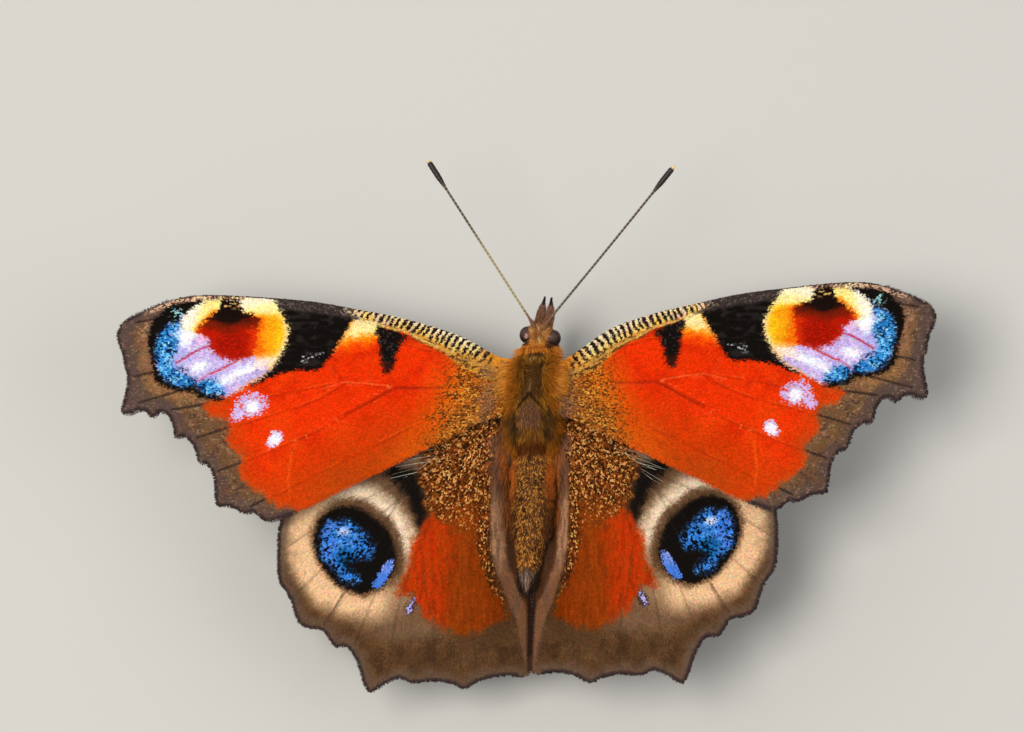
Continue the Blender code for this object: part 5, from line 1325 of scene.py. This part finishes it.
def body_hairs(name, skin, count, keep, lie, length, width, lift, flare, bend, material, slot, seed):
    """Hairs over one region of the body skin."""
    random = np.random.default_rng(seed)
    roots, normals = mesh_samples(skin, count, random, keep)
    lies = lie(roots) + random.normal(0.0, 0.2, (count, 3))
    lengths = length(roots) * random.uniform(0.7, 1.25, count)
    widths = width * random.uniform(0.75, 1.3, count)
    ways = lies / (np.linalg.norm(lies, axis=1)[:, None] + 1e-9)
    grain = random.uniform(0.0, 1.0, count)
    rgb = paint_body(roots + ways * (0.55 * lengths)[:, None], grain)
    rgb = rgb * random.uniform(0.72, 1.28, (count, 1))
    lifts = lift + flare * np.abs(normals[:, 0]) + random.normal(0.0, 0.12, count)
    return hairs(name, roots, lies, normals, lengths, widths, lifts, bend, rgb, body_unwrap(roots), material, slot)


def lie_of(outward_share, along, rise):
    """A coat direction: a share to the outside that grows from the middle line, and a share along the body."""

    def lie(roots):
        x = roots[:, 0] - body_line(roots[:, 1])
        lies = np.empty_like(roots)
        lies[:, 0] = outward_share * np.sign(x) * step(0.1, 1.4, np.abs(x))
        lies[:, 1] = along
        lies[:, 2] = rise
        return lies

    return lie


def head_frame(points):
    """Places of body points in the head's own frame."""
    cosine, sine = math.cos(HEAD_YAW), math.sin(HEAD_YAW)
    away = points - HEAD_CENTRE
    return np.column_stack((away[:, 0] * cosine + away[:, 1] * sine, away[:, 1] * cosine - away[:, 0] * sine, away[:, 2]))


def head_lie(roots):
    """Forward over the crown and outward toward the eyes."""
    local = head_frame(roots)
    lies = np.empty_like(roots)
    lies[:, 0] = 1.2 * local[:, 0] - 0.17
    lies[:, 1] = 0.9 + 0.3 * local[:, 1]
    lies[:, 2] = 0.25
    return lies


def brow_lie(roots):
    """Outward over the inner rim of each eye."""
    local = head_frame(roots)
    lies = np.empty_like(roots)
    lies[:, 0] = np.sign(local[:, 0])
    lies[:, 1] = 0.35 * local[:, 1] + 0.2
    lies[:, 2] = 0.35
    return lies


def outside_eyes(points):
    away = np.ones(len(points), bool)
    for side in SIDES:
        centre = head_place(EYE_OFFSET, side)
        away &= np.linalg.norm((points - centre) / (EYE_HALF + 0.04), axis=1) > 1.0
    return away


def tube_arrays(path, radii, sides):
    """Rings round a path with pointed ends. Returns points, quads, ring normals and the place along."""
    path = np.asarray(path, float)
    radii = np.asarray(radii, float)
    ahead = np.gradient(path, axis=0)
    ahead /= np.linalg.norm(ahead, axis=1)[:, None] + 1e-9
    helper = np.array((0.0, 0.0, 1.0))
    if abs(ahead[:, 2]).mean() > 0.9:
        helper = np.array((0.0, 1.0, 0.0))
    across = np.cross(ahead, helper)
    across /= np.linalg.norm(across, axis=1)[:, None] + 1e-9
    above = np.cross(across, ahead)
    angles = 2 * math.pi * np.arange(sides) / sides
    round_ = across[:, None, :] * np.cos(angles)[None, :, None] + above[:, None, :] * np.sin(angles)[None, :, None]
    points = path[:, None, :] + round_ * radii[:, None, None]
    a = np.arange(sides)
    b = (a + 1) % sides
    quads = [np.column_stack((a + k * sides, b + k * sides, b + (k + 1) * sides, a + (k + 1) * sides)) for k in range(len(path) - 1)]
    return points.reshape(-1, 3), np.vstack(quads), round_.reshape(-1, 3)


def tube_piece(name, path, radii, rgb, material, sides=16):
    """A closed tube whose ends narrow to a point."""
    path = np.asarray(path, float)
    radii = np.concatenate(((0.002,), radii, (0.002,)))
    first = path[0] + (path[0] - path[1]) * 0.02
    last = path[-1] + (path[-1] - path[-2]) * 0.02
    path = np.vstack((first, path, last))
    rgb = np.vstack((rgb[:1], rgb, rgb[-1:]))
    points, quads, _ = tube_arrays(path, radii, sides)
    piece = new_piece(name, points, quads, material)
    set_tints(piece, np.repeat(rgb, sides, axis=0))
    shell = bmesh.new()
    shell.from_mesh(piece.data)
    bmesh.ops.holes_fill(shell, edges=[edge for edge in shell.edges if edge.is_boundary], sides=0)
    bmesh.ops.recalc_face_normals(shell, faces=shell.faces)
    shell.to_mesh(piece.data)
    shell.free()
    piece.data.shade_smooth()
    return piece


def resample(path, radii, gap):
    """A finer run of points at even steps, with radii between the given ones."""
    path = np.asarray(path, float)
    run = np.concatenate(((0.0,), np.cumsum(np.linalg.norm(np.diff(path, axis=0), axis=1))))
    places = np.linspace(0.0, run[-1], max(2, int(run[-1] / gap)))
    fine = np.column_stack([np.interp(places, run, path[:, k]) for k in range(3)])
    return fine, np.interp(places, run, radii), places


def limb_hairs(name, path, radii, count, length, width, lift, colour, seed, material, slot, spread=1.0, side_only=None):
    """Hairs or scales round a limb that point along it."""
    random = np.random.default_rng(seed)
    path, radii, places = resample(path, radii, 0.05)
    ahead = np.gradient(path, axis=0)
    ahead /= np.linalg.norm(ahead, axis=1)[:, None] + 1e-9
    pick = random.integers(0, len(path) - 1, count)
    turn = random.uniform(0.0, 2 * math.pi, count)
    helper = np.array((0.03, 0.02, 1.0))
    across = np.cross(ahead[pick], helper)
    across /= np.linalg.norm(across, axis=1)[:, None] + 1e-9
    above = np.cross(across, ahead[pick])
    normals = across * np.cos(turn)[:, None] + above * np.sin(turn)[:, None]
    roots = path[pick] + ahead[pick] * random.uniform(0.0, 0.05, (count, 1)) + normals * radii[pick, None] * 0.95
    lies = ahead[pick] + random.normal(0.0, 0.12, (count, 3))
    along = places[pick] / places[-1]
    lengths = (length(along) if callable(length) else length) * random.uniform(0.7, 1.3, count)
    lift = lift(along) if callable(lift) else lift
    widths = width * random.uniform(0.8, 1.2, count)
    rgb = colour(along, turn, random)
    unwrap = np.column_stack((0.1 + 0.8 * turn / (2 * math.pi), 0.05 + 0.9 * places[pick] / places[-1]))
    return hairs(name, roots, lies, normals, lengths, widths, lift, 0.15, rgb, unwrap, material, slot)


def lerp_path(start, end, count, sag=0.0):
    t = np.linspace(0.0, 1.0, count)
    path = np.outer(1 - t, start) + np.outer(t, end)
    path[:, 2] -= sag * np.sin(math.pi * t)
    return path, t


ANTENNA_TIP = {"left": (-7.62, 16.28, 3.3), "right": (12.15, 14.95, 3.3)}
ANTENNA_RING = 0.34


def antenna(side, material):
    """A thin ringed shaft that swells to a dark club with a pale tip."""
    base = head_place((0.42, 0.35, 0.75), side)
    joint = head_place((0.76 if side == "left" else 0.55, 0.85, 1.15), side)
    tip = np.array(ANTENNA_TIP[side])
    shaft, t = lerp_path(joint, tip, 420, 0.15)
    near = step(0.62, 0.4, t) * (side == "left")
    length = np.linalg.norm(tip - joint)
    from_tip = (1 - t) * length
    club = step(3.1, 1.5, from_tip)
    ring = (t * length / ANTENNA_RING) % 1.0
    swell = 1.0 + 0.10 * np.sin(math.pi * ring) ** 0.5 - 0.05
    radii = (0.09 + 0.135 * club) * swell * np.clip(np.sqrt(np.clip(from_tip / 0.5, 0, 1)), 0.12, 1.0)
    canvas = Canvas(t * length, np.zeros(len(t)), (66, 54, 38))
    canvas.over((168, 152, 102), 0.8 * near)
    canvas.over((108, 76, 52), 0.9 * step(1.5, 0.6, t * length))
    pale = 0.5 + 0.25 * near
    canvas.over((204, 188, 146), pale * step(0.34, 0.2, ring) * step(0.6, 0.2, club) * step(0.3, 0.9, t * length))
    canvas.over((26, 20, 18), 0.9 * step(0.3, 0.9, club))
    canvas.over((236, 206, 150), step(0.42, 0.22, from_tip))
    bent, _ = lerp_path(base, joint, 14)
    path = np.vstack((bent[:-1], shaft))
    sizes = np.concatenate((np.interp(np.linspace(0, 1, 13), (0, 0.5, 1), (0.17, 0.15, 0.14)), radii))
    sizes[13:20] = np.linspace(0.14, radii[7], 7)
    rgb = np.vstack((np.tile((118, 80, 52), (13, 1)), canvas.rgb))
    piece = tube_piece("antenna_skin_" + side, path, sizes, rgb, material, 14)
    finish_piece(piece, "dark_cuticle", "antenna_" + side)
    return piece


def palp(side, skin_material, hair_material, seed):
    """A furry feeler before the face, dark at its tip."""
    base = head_place((0.48, 0.35, -0.3), side)
    tip = head_place((0.22 + 0.27 * side_sign(side), 2.9, 0.6))
    path, t = lerp_path(base, tip, 40, 0.2)
    radii = 0.34 * (0.75 + 0.45 * np.sin(math.pi * np.minimum(1.0, t * 1.25)) - 0.45 * t**2) * 0.62
    tints = np.outer(1 - t, (110, 76, 52)) + np.outer(t, (52, 40, 38))
    piece = tube_piece("palp_skin_" + side, path, radii, tints, skin_material, 16)
    finish_piece(piece, "head_fur", "palp_" + side)

    def colour(along, turn, random):
        top = 0.5 + 0.5 * np.sin(turn)
        rgb = np.outer(1 - along, (154, 106, 78)) + np.outer(along, (122, 92, 80))
        rgb += (np.array((34, 31, 35)) - rgb) * step(0.68, 0.84, along)[:, None]
        rgb += (np.array((176, 132, 92)) - rgb) * (0.5 * (1 - top) * step(0.7, 0.2, along))[:, None]
        return rgb * random.uniform(0.6, 1.45, (len(along), 1))

    def reach(along):
        return 0.42 - 0.14 * step(0.5, 1.0, along)

    def rise(along):
        return 0.5 - 0.42 * step(0.4, 0.95, along)

    limb_hairs("palp_fur_" + side, path[:-2], radii[:-2], 1700, reach, 0.02, rise, colour, seed, hair_material, "head_fur")


def proboscis(material):
    """The tongue, coiled like a watch spring, with fine rings."""
    steps = 260
    t = np.linspace(0.0, 1.0, steps)
    angle = math.radians(95) - 2 * math.pi * 1.9 * (1 - t)
    reach = 0.22 + 1.23 * t
    path = np.array([head_place((0.0, 0.75 + r * math.cos(a), -2.72 + r * math.sin(a))) for r, a in zip(reach, angle)])
    end = head_place((0.0, 0.85, -0.75))
    path = np.vstack((path, path[-1] * 0.5 + end * 0.5, end))
    t = np.concatenate((t, (1.0, 1.0)))
    rings = 0.5 + 0.5 * np.sin(t * 420.0)
    radii = 0.075 + 0.075 * t + 0.006 * rings
    rgb = np.outer(1 - rings, (70, 46, 26)) + np.outer(rings, (112, 76, 40))
    piece = tube_piece("proboscis_skin", path, radii, rgb, material, 14)
    finish_piece(piece, "dark_cuticle", "proboscis")


TARSUS_LEVEL = FLOOR + 0.155
LEGS = {
    "midleg": ((1.1, -2.6, -2.3), (4.7, -1.0, -2.5), (6.7, 0.5, TARSUS_LEVEL), (9.7, 2.5, TARSUS_LEVEL)),
    "hindleg": ((1.1, -5.2, -2.2), (4.4, -7.5, -2.7), (6.2, -9.3, TARSUS_LEVEL), (8.8, -11.9, TARSUS_LEVEL)),
}


def leg_colour(along, turn, random):
    """Dark brown above and tan below, paler toward the foot."""
    below = step(0.2, -0.6, np.sin(turn))
    rgb = np.tile(np.array((62, 46, 36), float), (len(along), 1))
    rgb += (np.array((150, 112, 76)) - rgb) * (0.75 * below)[:, None]
    rgb += (np.array((126, 88, 52)) - rgb) * (0.6 * step(0.55, 0.8, along))[:, None]
    return rgb * random.uniform(0.65, 1.35, (len(along), 1))


def leg(kind, side, skin_material, hair_material, seed):
    """Thigh, shin and a foot of five joints, with scales, spurs and two claws."""
    random = np.random.default_rng(seed)
    hip, knee, ankle, toe = (np.array(p, float) for p in LEGS[kind])
    sign = side_sign(side)
    shift = body_line(hip[1])
    thigh, t = lerp_path(hip, knee, 30)
    thigh_radii = 0.27 * (0.72 + 0.42 * np.sin(math.pi * (0.12 + 0.8 * t)))
    shin, t = lerp_path(knee, ankle, 34, -0.25)
    shin_radii = 0.17 * (0.95 - 0.18 * np.sin(math.pi * t) + 0.12 * t)
    foot_t = np.linspace(0.0, 1.0, 61)
    foot = np.outer(1 - foot_t, ankle) + np.outer(foot_t, toe)
    joint = (foot_t * 5.0) % 1.0
    foot_radii = 0.125 * (0.82 + 0.3 * np.sin(math.pi * joint) ** 0.6) * (1.0 - 0.22 * foot_t)
    foot[:, 2] = FLOOR + foot_radii + 0.01
    path = np.vstack((thigh, shin[1:], foot[2:]))
    radii = np.concatenate((thigh_radii, shin_radii[1:], foot_radii[2:]))
    path[:, 0] = path[:, 0] * sign + shift
    rgb = np.tile(np.array((70, 52, 38), float), (len(path), 1))
    rgb[len(thigh) + len(shin):] = (104, 76, 48)
    name = "%s_%s" % (kind, side)
    piece = tube_piece(kind + "_skin_" + side, path, radii, rgb, skin_material, 16)
    finish_piece(piece, "leg_scales", name)
    limb_hairs(kind + "_scales_" + side, path[2:-4], radii[2:-4] + 0.004, 1150, 0.24, 0.028, 0.16, leg_colour,
               seed + 50, hair_material, "leg_scales")

    spur_at = len(thigh) + len(shin) - 3
    along = path[spur_at] - path[spur_at - 4]
    along /= np.linalg.norm(along)
    roots, lies, sizes = [], [], []
    for offset in (-1.0, 1.0):
        roots.append(path[spur_at])
        lies.append(along + np.array((0.0, offset * 0.35, -0.2)))
        sizes.append(0.7)
    for k in range(10, 58, 3):
        spot = path[len(thigh) + len(shin) - 3 + k]
        roots.append(spot)
        lies.append(np.array((sign * 0.7, (-1.0 if kind == "hindleg" else 1.0) * 0.5, -0.1)) + random.normal(0, 0.2, 3))
        sizes.append(0.2)
    roots, lies = np.array(roots), np.array(lies)
    up = np.tile((0.0, 0.0, 1.0), (len(roots), 1))
    rgb = np.tile((74, 48, 30), (len(roots), 1)).astype(float)
    unwrap = np.column_stack((np.full(len(roots), 0.95), np.linspace(0.1, 0.9, len(roots))))
    hairs(kind + "_spines_" + side, roots, lies, up, np.array(sizes), np.full(len(roots), 0.03), 0.1, 0.05, rgb,
          unwrap, skin_material, "leg_scales")

    end = path[-1]
    ahead = path[-1] - path[-6]
    ahead /= np.linalg.norm(ahead)
    out = np.cross(ahead, (0.0, 0.0, 1.0))
    t = np.linspace(0.0, 1.0, 16)
    for number, offset in enumerate((-1.0, 1.0)):
        claw = end + np.outer(t * 0.3, ahead) + np.outer(offset * (0.03 + 0.1 * np.sin(t * 2.2)), out)
        claw[:, 2] = end[2] + 0.05 * np.sin(math.pi * t) - 0.075 * t**2
        sizes = 0.032 * (1 - 0.9 * t)
        tints = np.tile((30, 20, 14), (16, 1)).astype(float)
        part = tube_piece("claw_%s_%s_%d" % (kind, side, number), claw, sizes, tints, skin_material, 10)
        finish_piece(part, "dark_cuticle")


def foreleg(side, skin_material, hair_material, seed):
    """The short brush leg, folded under the collar."""
    points = np.array(((0.7, -0.2, -2.0), (0.95, 1.2, -2.6), (0.75, 2.6, -2.4), (0.6, 1.3, -3.25)))
    path = smooth_line(points, 16)
    path[:, 0] = path[:, 0] * side_sign(side) + body_line(path[:, 1])
    t = np.linspace(0.0, 1.0, len(path))
    radii = 0.2 - 0.08 * t
    tints = np.tile((72, 54, 42), (len(path), 1)).astype(float)
    piece = tube_piece("foreleg_skin_" + side, path, radii, tints, skin_material, 14)
    finish_piece(piece, "leg_scales", "foreleg_" + side)

    def colour(along, turn, random):
        rgb = np.tile(np.array((130, 90, 56), float), (len(along), 1))
        return rgb * random.uniform(0.6, 1.5, (len(along), 1))

    limb_hairs("foreleg_fur_" + side, path, radii, 1300, 0.42, 0.022, 0.55, colour, seed, hair_material, "leg_scales")


def eye_material():
    """Dark brown facets under a soft gloss, with a painted reflection as a paler patch from the mesh's tints."""
    material = attribute_material("compound_eye", 0.45, 0.25, 0.0, 0.3, 0.25)
    tree = material.node_tree
    shader = tree.nodes["Principled BSDF"]
    place = tree.nodes.new("ShaderNodeTexCoord")
    facets = tree.nodes.new("ShaderNodeTexVoronoi")
    facets.inputs["Scale"].default_value = 1.0 / (0.06 * MM)
    tree.links.new(place.outputs["Object"], facets.inputs["Vector"])
    relief = tree.nodes.new("ShaderNodeBump")
    relief.inputs["Strength"].default_value = 0.7
    relief.inputs["Distance"].default_value = 0.012 * MM
    relief.invert = True
    tree.links.new(facets.outputs["Distance"], relief.inputs["Height"])
    tree.links.new(relief.outputs["Normal"], shader.inputs["Normal"])
    shader.inputs["Coat Weight"].default_value = 0.05
    shader.inputs["Coat Roughness"].default_value = 0.25
    return material


def eye(side, material):
    centre = head_place(EYE_OFFSET, side)
    points, quads = ball(centre, EYE_HALF, HEAD_YAW, 64, 40)
    piece = new_piece("eye_globe_" + side, points, quads, material)
    local = (points - centre) / EYE_HALF
    canvas = Canvas(local[:, 1], local[:, 2], (78, 53, 46))
    canvas.over((60, 40, 32), 0.8 * step(0.4, 0.7, noise(local[:, 1], local[:, 2], 0.3, 150)))
    inner = -side_sign(side) * local[:, 0]
    canvas.over((34, 20, 15), step(0.5, 0.8, np.hypot(local[:, 1], local[:, 0] * 0.9)) * step(0.9, 0.5, inner))
    # Painted reflection: a pale glint patch on the upper half of each eye, pinkish on the left and grey on the right.
    glint, tone = ((0.0, -0.35), (206, 160, 150)) if side == "left" else ((0.4, -0.15), (136, 130, 138))
    patch = step(0.42, 0.15, np.hypot(inner - glint[0], local[:, 1] - glint[1]))
    canvas.over(tone, 0.75 * patch * step(0.35, 0.5, noise(local[:, 0], local[:, 1], 0.2, 151)) * (local[:, 2] > 0))
    set_tints(piece, canvas.rgb)
    shell = bmesh.new()
    shell.from_mesh(piece.data)
    bmesh.ops.holes_fill(shell, edges=[edge for edge in shell.edges if edge.is_boundary], sides=0)
    bmesh.ops.recalc_face_normals(shell, faces=shell.faces)
    shell.to_mesh(piece.data)
    shell.free()
    piece.data.shade_smooth()
    finish_piece(piece, "compound_eye", "eye_" + side)
    return piece


def wing_hairs(name, wing, spots, count, length, width, lift, colour, spread, material, seed, aim=None):
    """Long soft hairs on a wing's upper face. Spots are plan lines that roots are drawn from."""
    random = np.random.default_rng(seed)
    line = smooth_line(spots, 12)
    pick = random.uniform(0.0, len(line) - 1.001, count)
    low = pick.astype(int)
    root = line[low] + (line[low + 1] - line[low]) * (pick - low)[:, None]
    root = root + random.normal(0.0, spread, (count, 2))
    inside = depth_inside(root[:, 0], root[:, 1], wing.outline) > 0.05
    root = root[inside]
    count = len(root)
    pole = SCALE_POLE[wing.kind]
    turn = np.arctan2(root[:, 1] - pole[1], root[:, 0] - pole[0]) if aim is None else np.full(count, aim)
    turn = turn + random.normal(0.0, 0.16, count)
    base = wing.place(root[:, 0], root[:, 1], np.full(count, MEMBRANE_HALF))
    lies = np.outer(np.cos(turn), wing.out) + np.outer(np.sin(turn), wing.ahead)
    normals = np.tile(wing.up, (count, 1))
    lengths = length * random.uniform(0.6, 1.3, count)
    widths = width * random.uniform(0.75, 1.25, count)
    rgb = colour(root[:, 0], root[:, 1]) if callable(colour) else np.tile(np.array(colour, float), (count, 1))
    rgb = rgb * random.uniform(0.6, 1.35, (count, 1))
    unwrap = wing.unwrap(root[:, 0], root[:, 1])
    slot = wing.kind + "wing_scales"
    return hairs(name, base, lies, normals, lengths, widths, lift, 0.12, rgb, unwrap, material, slot)


def inner_hair_colour(u, v):
    """Orange-brown next to the body, mauve-brown further out."""
    out = step(-0.3, 0.25, u + 0.3 * (noise(u, v, 0.5, 160) - 0.5))
    return np.outer(1 - out, (188, 104, 40)) + np.outer(out, (142, 94, 68))


def build_wings():
    scales = {
        False: attribute_material("wing_scales_upper", 0.75, 0.03, 0.35, 0.05, 0.08),
        True: attribute_material("wing_scales_under", 0.6, 0.15, 0.35, 0.05, 0.1),
    }
    membrane = attribute_material("wing_membrane", 0.7, 0.08, 0.3, 0.08, 0.1)
    down = attribute_material("wing_hair", 0.6, 0.2, 0.2, 0.05, 0.1)
    seed = 1000
    for side in SIDES:
        for kind in ("fore", "hind"):
            wing = Wing(kind, side)
            wing_skin(wing, membrane)
            for under in (False, True):
                seed += 1
                wing_scales(wing, under, scales[under], seed)
            if kind == "fore":
                base = ((0.2, 0.7), (0.1, -0.6), (0.3, -2.2), (0.6, -3.4))
                wing_hairs("forewing_base_hair_" + side, wing, base, 230, 1.25, 0.016, 0.25, (168, 118, 84), 0.3, down,
                           seed + 100)
                out = 0.0 if side == "left" else 0.45
                tegula = ((out - 1.0, 0.2), (out - 0.55, 0.5), (out - 0.2, 0.35), (out - 0.1, -0.5), (out, -1.5))
                wing_hairs("forewing_tegula_hair_" + side, wing, tegula, 460, 0.62, 0.018, 0.4, (248, 158, 72), 0.2,
                           down, seed + 150, -0.75)
            else:
                inner = ((0.3, -0.6), (0.1, -2.4), (0.0, -4.6), (-0.2, -7.4))
                wing_hairs("hindwing_inner_hair_" + side, wing, inner, 900, 1.15, 0.016, 0.22, inner_hair_colour, 0.3,
                           down, seed + 100)
                front = ((4.6, -1.9), (5.2, -2.6), (5.6, -3.4))
                wing_hairs("hindwing_front_hair_" + side, wing, front, 14, 3.9, 0.013, 0.05, (236, 214, 186), 0.2,
                           down, seed + 200, -0.36)


def build_body():
    skin_material = attribute_material("body_skin", 0.75, 0.1, 0.5, 0.08, 0.2)
    fur = attribute_material("body_fur", 0.65, 0.12, 0.2, 0.05, 0.1)
    cuticle = attribute_material("cuticle", 0.42, 0.4, 0.4, 0.05, 0.15)
    limb = attribute_material("limb_scales", 0.55, 0.3, 0.3, 0.04, 0.12)
    skin = body_skin(skin_material)

    def on_thorax(p):
        return (p[:, 1] < 1.4) & (p[:, 1] > -7.4)

    def on_shoulder(p):
        side = np.abs(p[:, 0] - body_line(p[:, 1]))
        return (p[:, 1] < 1.5) & (p[:, 1] > -2.9) & (side > 0.95) & (p[:, 2] > -0.6)

    def on_flank(p):
        side = np.abs(p[:, 0] - body_line(p[:, 1]))
        return (p[:, 1] < -2.4) & (p[:, 1] > -7.3) & (side > 1.2) & (p[:, 2] > -1.0)

    def on_head(p):
        return (p[:, 1] >= 1.3) & outside_eyes(p)

    def on_face(p):
        return (head_frame(p)[:, 1] > 0.45) & outside_eyes(p)

    def on_brow(p):
        local = head_frame(p)
        return (abs(local[:, 0]) > 0.25) & (abs(local[:, 1]) < 0.75) & (local[:, 2] > 0.5) & outside_eyes(p)

    def on_abdomen(p):
        return p[:, 1] <= -6.9

    def beside_abdomen(p):
        side = np.abs(p[:, 0] - body_line(p[:, 1]))
        return (p[:, 1] < -7.0) & (p[:, 1] > -13.5) & (side > 1.0) & (p[:, 2] > -1.3)

    def thorax_length(p):
        side = np.abs(p[:, 0] - body_line(p[:, 1]))
        return 0.5 + 0.2 * step(0.9, 1.8, side) + 0.25 * step(-5.0, -7.0, p[:, 1])

    def abdomen_length(p):
        side = np.abs(p[:, 0] - body_line(p[:, 1]))
        return 0.2 + 0.5 * step(1.0, 1.35, side) * step(-13.0, -9.0, p[:, 1]) + 0.4 * step(-16.0, -17.2, p[:, 1])

    def shoulder_length(p):
        return 1.05 + 0.6 * np.exp(-(((p[:, 1] - 0.5) / 0.55) ** 2))

    def even(size):
        return lambda p: np.full(len(p), size)

    backward = lie_of(0.35, -1.0, -0.1)
    for name, count, keep, lie, length, width, lift, flare, bend, slot in (
        ("thorax_fur", 11400, on_thorax, backward, thorax_length, 0.022, 0.4, 0.0, 0.2, "thorax_fur"),
        ("shoulder_fur", 6400, on_shoulder, lie_of(1.0, -0.45, 0.0), shoulder_length, 0.02, 0.3, 0.75, 0.2, "thorax_fur"),
        ("flank_fur", 4000, on_flank, lie_of(0.75, -0.75, 0.1), even(1.3), 0.02, 0.35, 0.5, 0.25, "thorax_fur"),
        ("head_fur", 4400, on_head, head_lie, even(0.3), 0.018, 0.7, 0.0, 0.1, "head_fur"),
        ("face_fur", 1500, on_face, lie_of(0.15, 1.0, 0.2), even(0.7), 0.018, 0.35, 0.0, 0.1, "head_fur"),
        ("brow_fur", 1300, on_brow, brow_lie, even(0.62), 0.018, 0.3, 0.0, 0.12, "head_fur"),
        ("abdomen_fur", 13000, on_abdomen, backward, abdomen_length, 0.034, 0.26, 0.25, 0.1, "abdomen_scales"),
        ("abdomen_side_fur", 3000, beside_abdomen, lie_of(0.6, -0.9, 0.1), even(0.75), 0.022, 0.3, 0.5, 0.2,
         "abdomen_scales"),
    ):
        seed = 11 + len(name)
        body_hairs(name, skin, count, keep, lie, length, width, lift, flare, bend, fur, slot, seed)
    facets = eye_material()
    for number, side in enumerate(SIDES):
        eye(side, facets)
        antenna(side, cuticle)
        palp(side, cuticle, fur, 30 + number)
        foreleg(side, cuticle, limb, 40 + number)
        for order, kind in enumerate(LEGS):
            leg(kind, side, cuticle, limb, 60 + 10 * number + order)
    proboscis(cuticle)


def build_stage():
    """Pale floor and soft light."""
    material = bpy.data.materials.new("studio_floor")
    material.use_nodes = True
    tree = material.node_tree
    shader = tree.nodes["Principled BSDF"]
    shader.inputs["Base Color"].default_value = (0.6, 0.59, 0.56, 1.0)
    shader.inputs["Roughness"].default_value = 0.85
    mesh = bpy.data.meshes.new("floor")
    size = 1.5
    mesh.from_pydata([(-size, -size, 0), (size, -size, 0), (size, size, 0), (-size, size, 0)], [], [(0, 1, 2, 3)])
    mesh.materials.append(material)
    floor = bpy.data.objects.new("floor", mesh)
    bpy.context.scene.collection.objects.link(floor)

    world = bpy.data.worlds.new("studio")
    world.use_nodes = True
    world.node_tree.nodes["Background"].inputs["Color"].default_value = (1.0, 0.99, 0.97, 1.0)
    world.node_tree.nodes["Background"].inputs["Strength"].default_value = 0.34
    bpy.context.scene.world = world
    for name, place, size, power, colour in (
        ("key", (-0.09, -0.03, 0.36), 0.2, 0.98, (1.0, 0.97, 0.92)),
        ("fill", (0.26, -0.06, 0.22), 0.22, 0.24, (0.95, 0.97, 1.0)),
        ("rear", (0.0, 0.3, 0.16), 0.2, 0.2, (1.0, 1.0, 1.0)),
    ):
        lamp = bpy.data.lights.new(name, "AREA")
        lamp.size = size
        lamp.energy = power
        lamp.color = colour
        thing = bpy.data.objects.new(name, lamp)
        thing.location = place
        thing.rotation_euler = (-Vector(place)).to_track_quat("-Z", "Y").to_euler()
        bpy.context.scene.collection.objects.link(thing)


def build_camera():
    back = np.array((math.sin(CAMERA_LEAN_RIGHT), -math.sin(CAMERA_LEAN_BACK), 0.0))
    back[2] = math.sqrt(1.0 - back[0] ** 2 - back[1] ** 2)
    right = np.cross((0.0, 1.0, 0.0), back)
    right /= np.linalg.norm(right)
    up = np.cross(back, right)
    data = bpy.data.cameras.new("camera")
    data.sensor_width = SENSOR_MM
    data.lens = SENSOR_MM * CAMERA_DISTANCE / (PHOTO_WIDTH_PX * PHOTO_MM_PER_PX)
    data.clip_start = 0.01
    data.clip_end = 10.0
    camera = bpy.data.objects.new("camera", data)
    turn = Matrix((right, up, back)).transposed().to_4x4()
    place = Vector((CAMERA_TARGET + STANCE + back * CAMERA_DISTANCE) * MM)
    camera.matrix_world = Matrix.Translation(place) @ turn
    bpy.context.scene.collection.objects.link(camera)
    bpy.context.scene.camera = camera


build_camera()
build_stage()
build_wings()
build_body()
bpy.context.scene.view_settings.view_transform = "Standard"
bpy.context.view_layer.update()
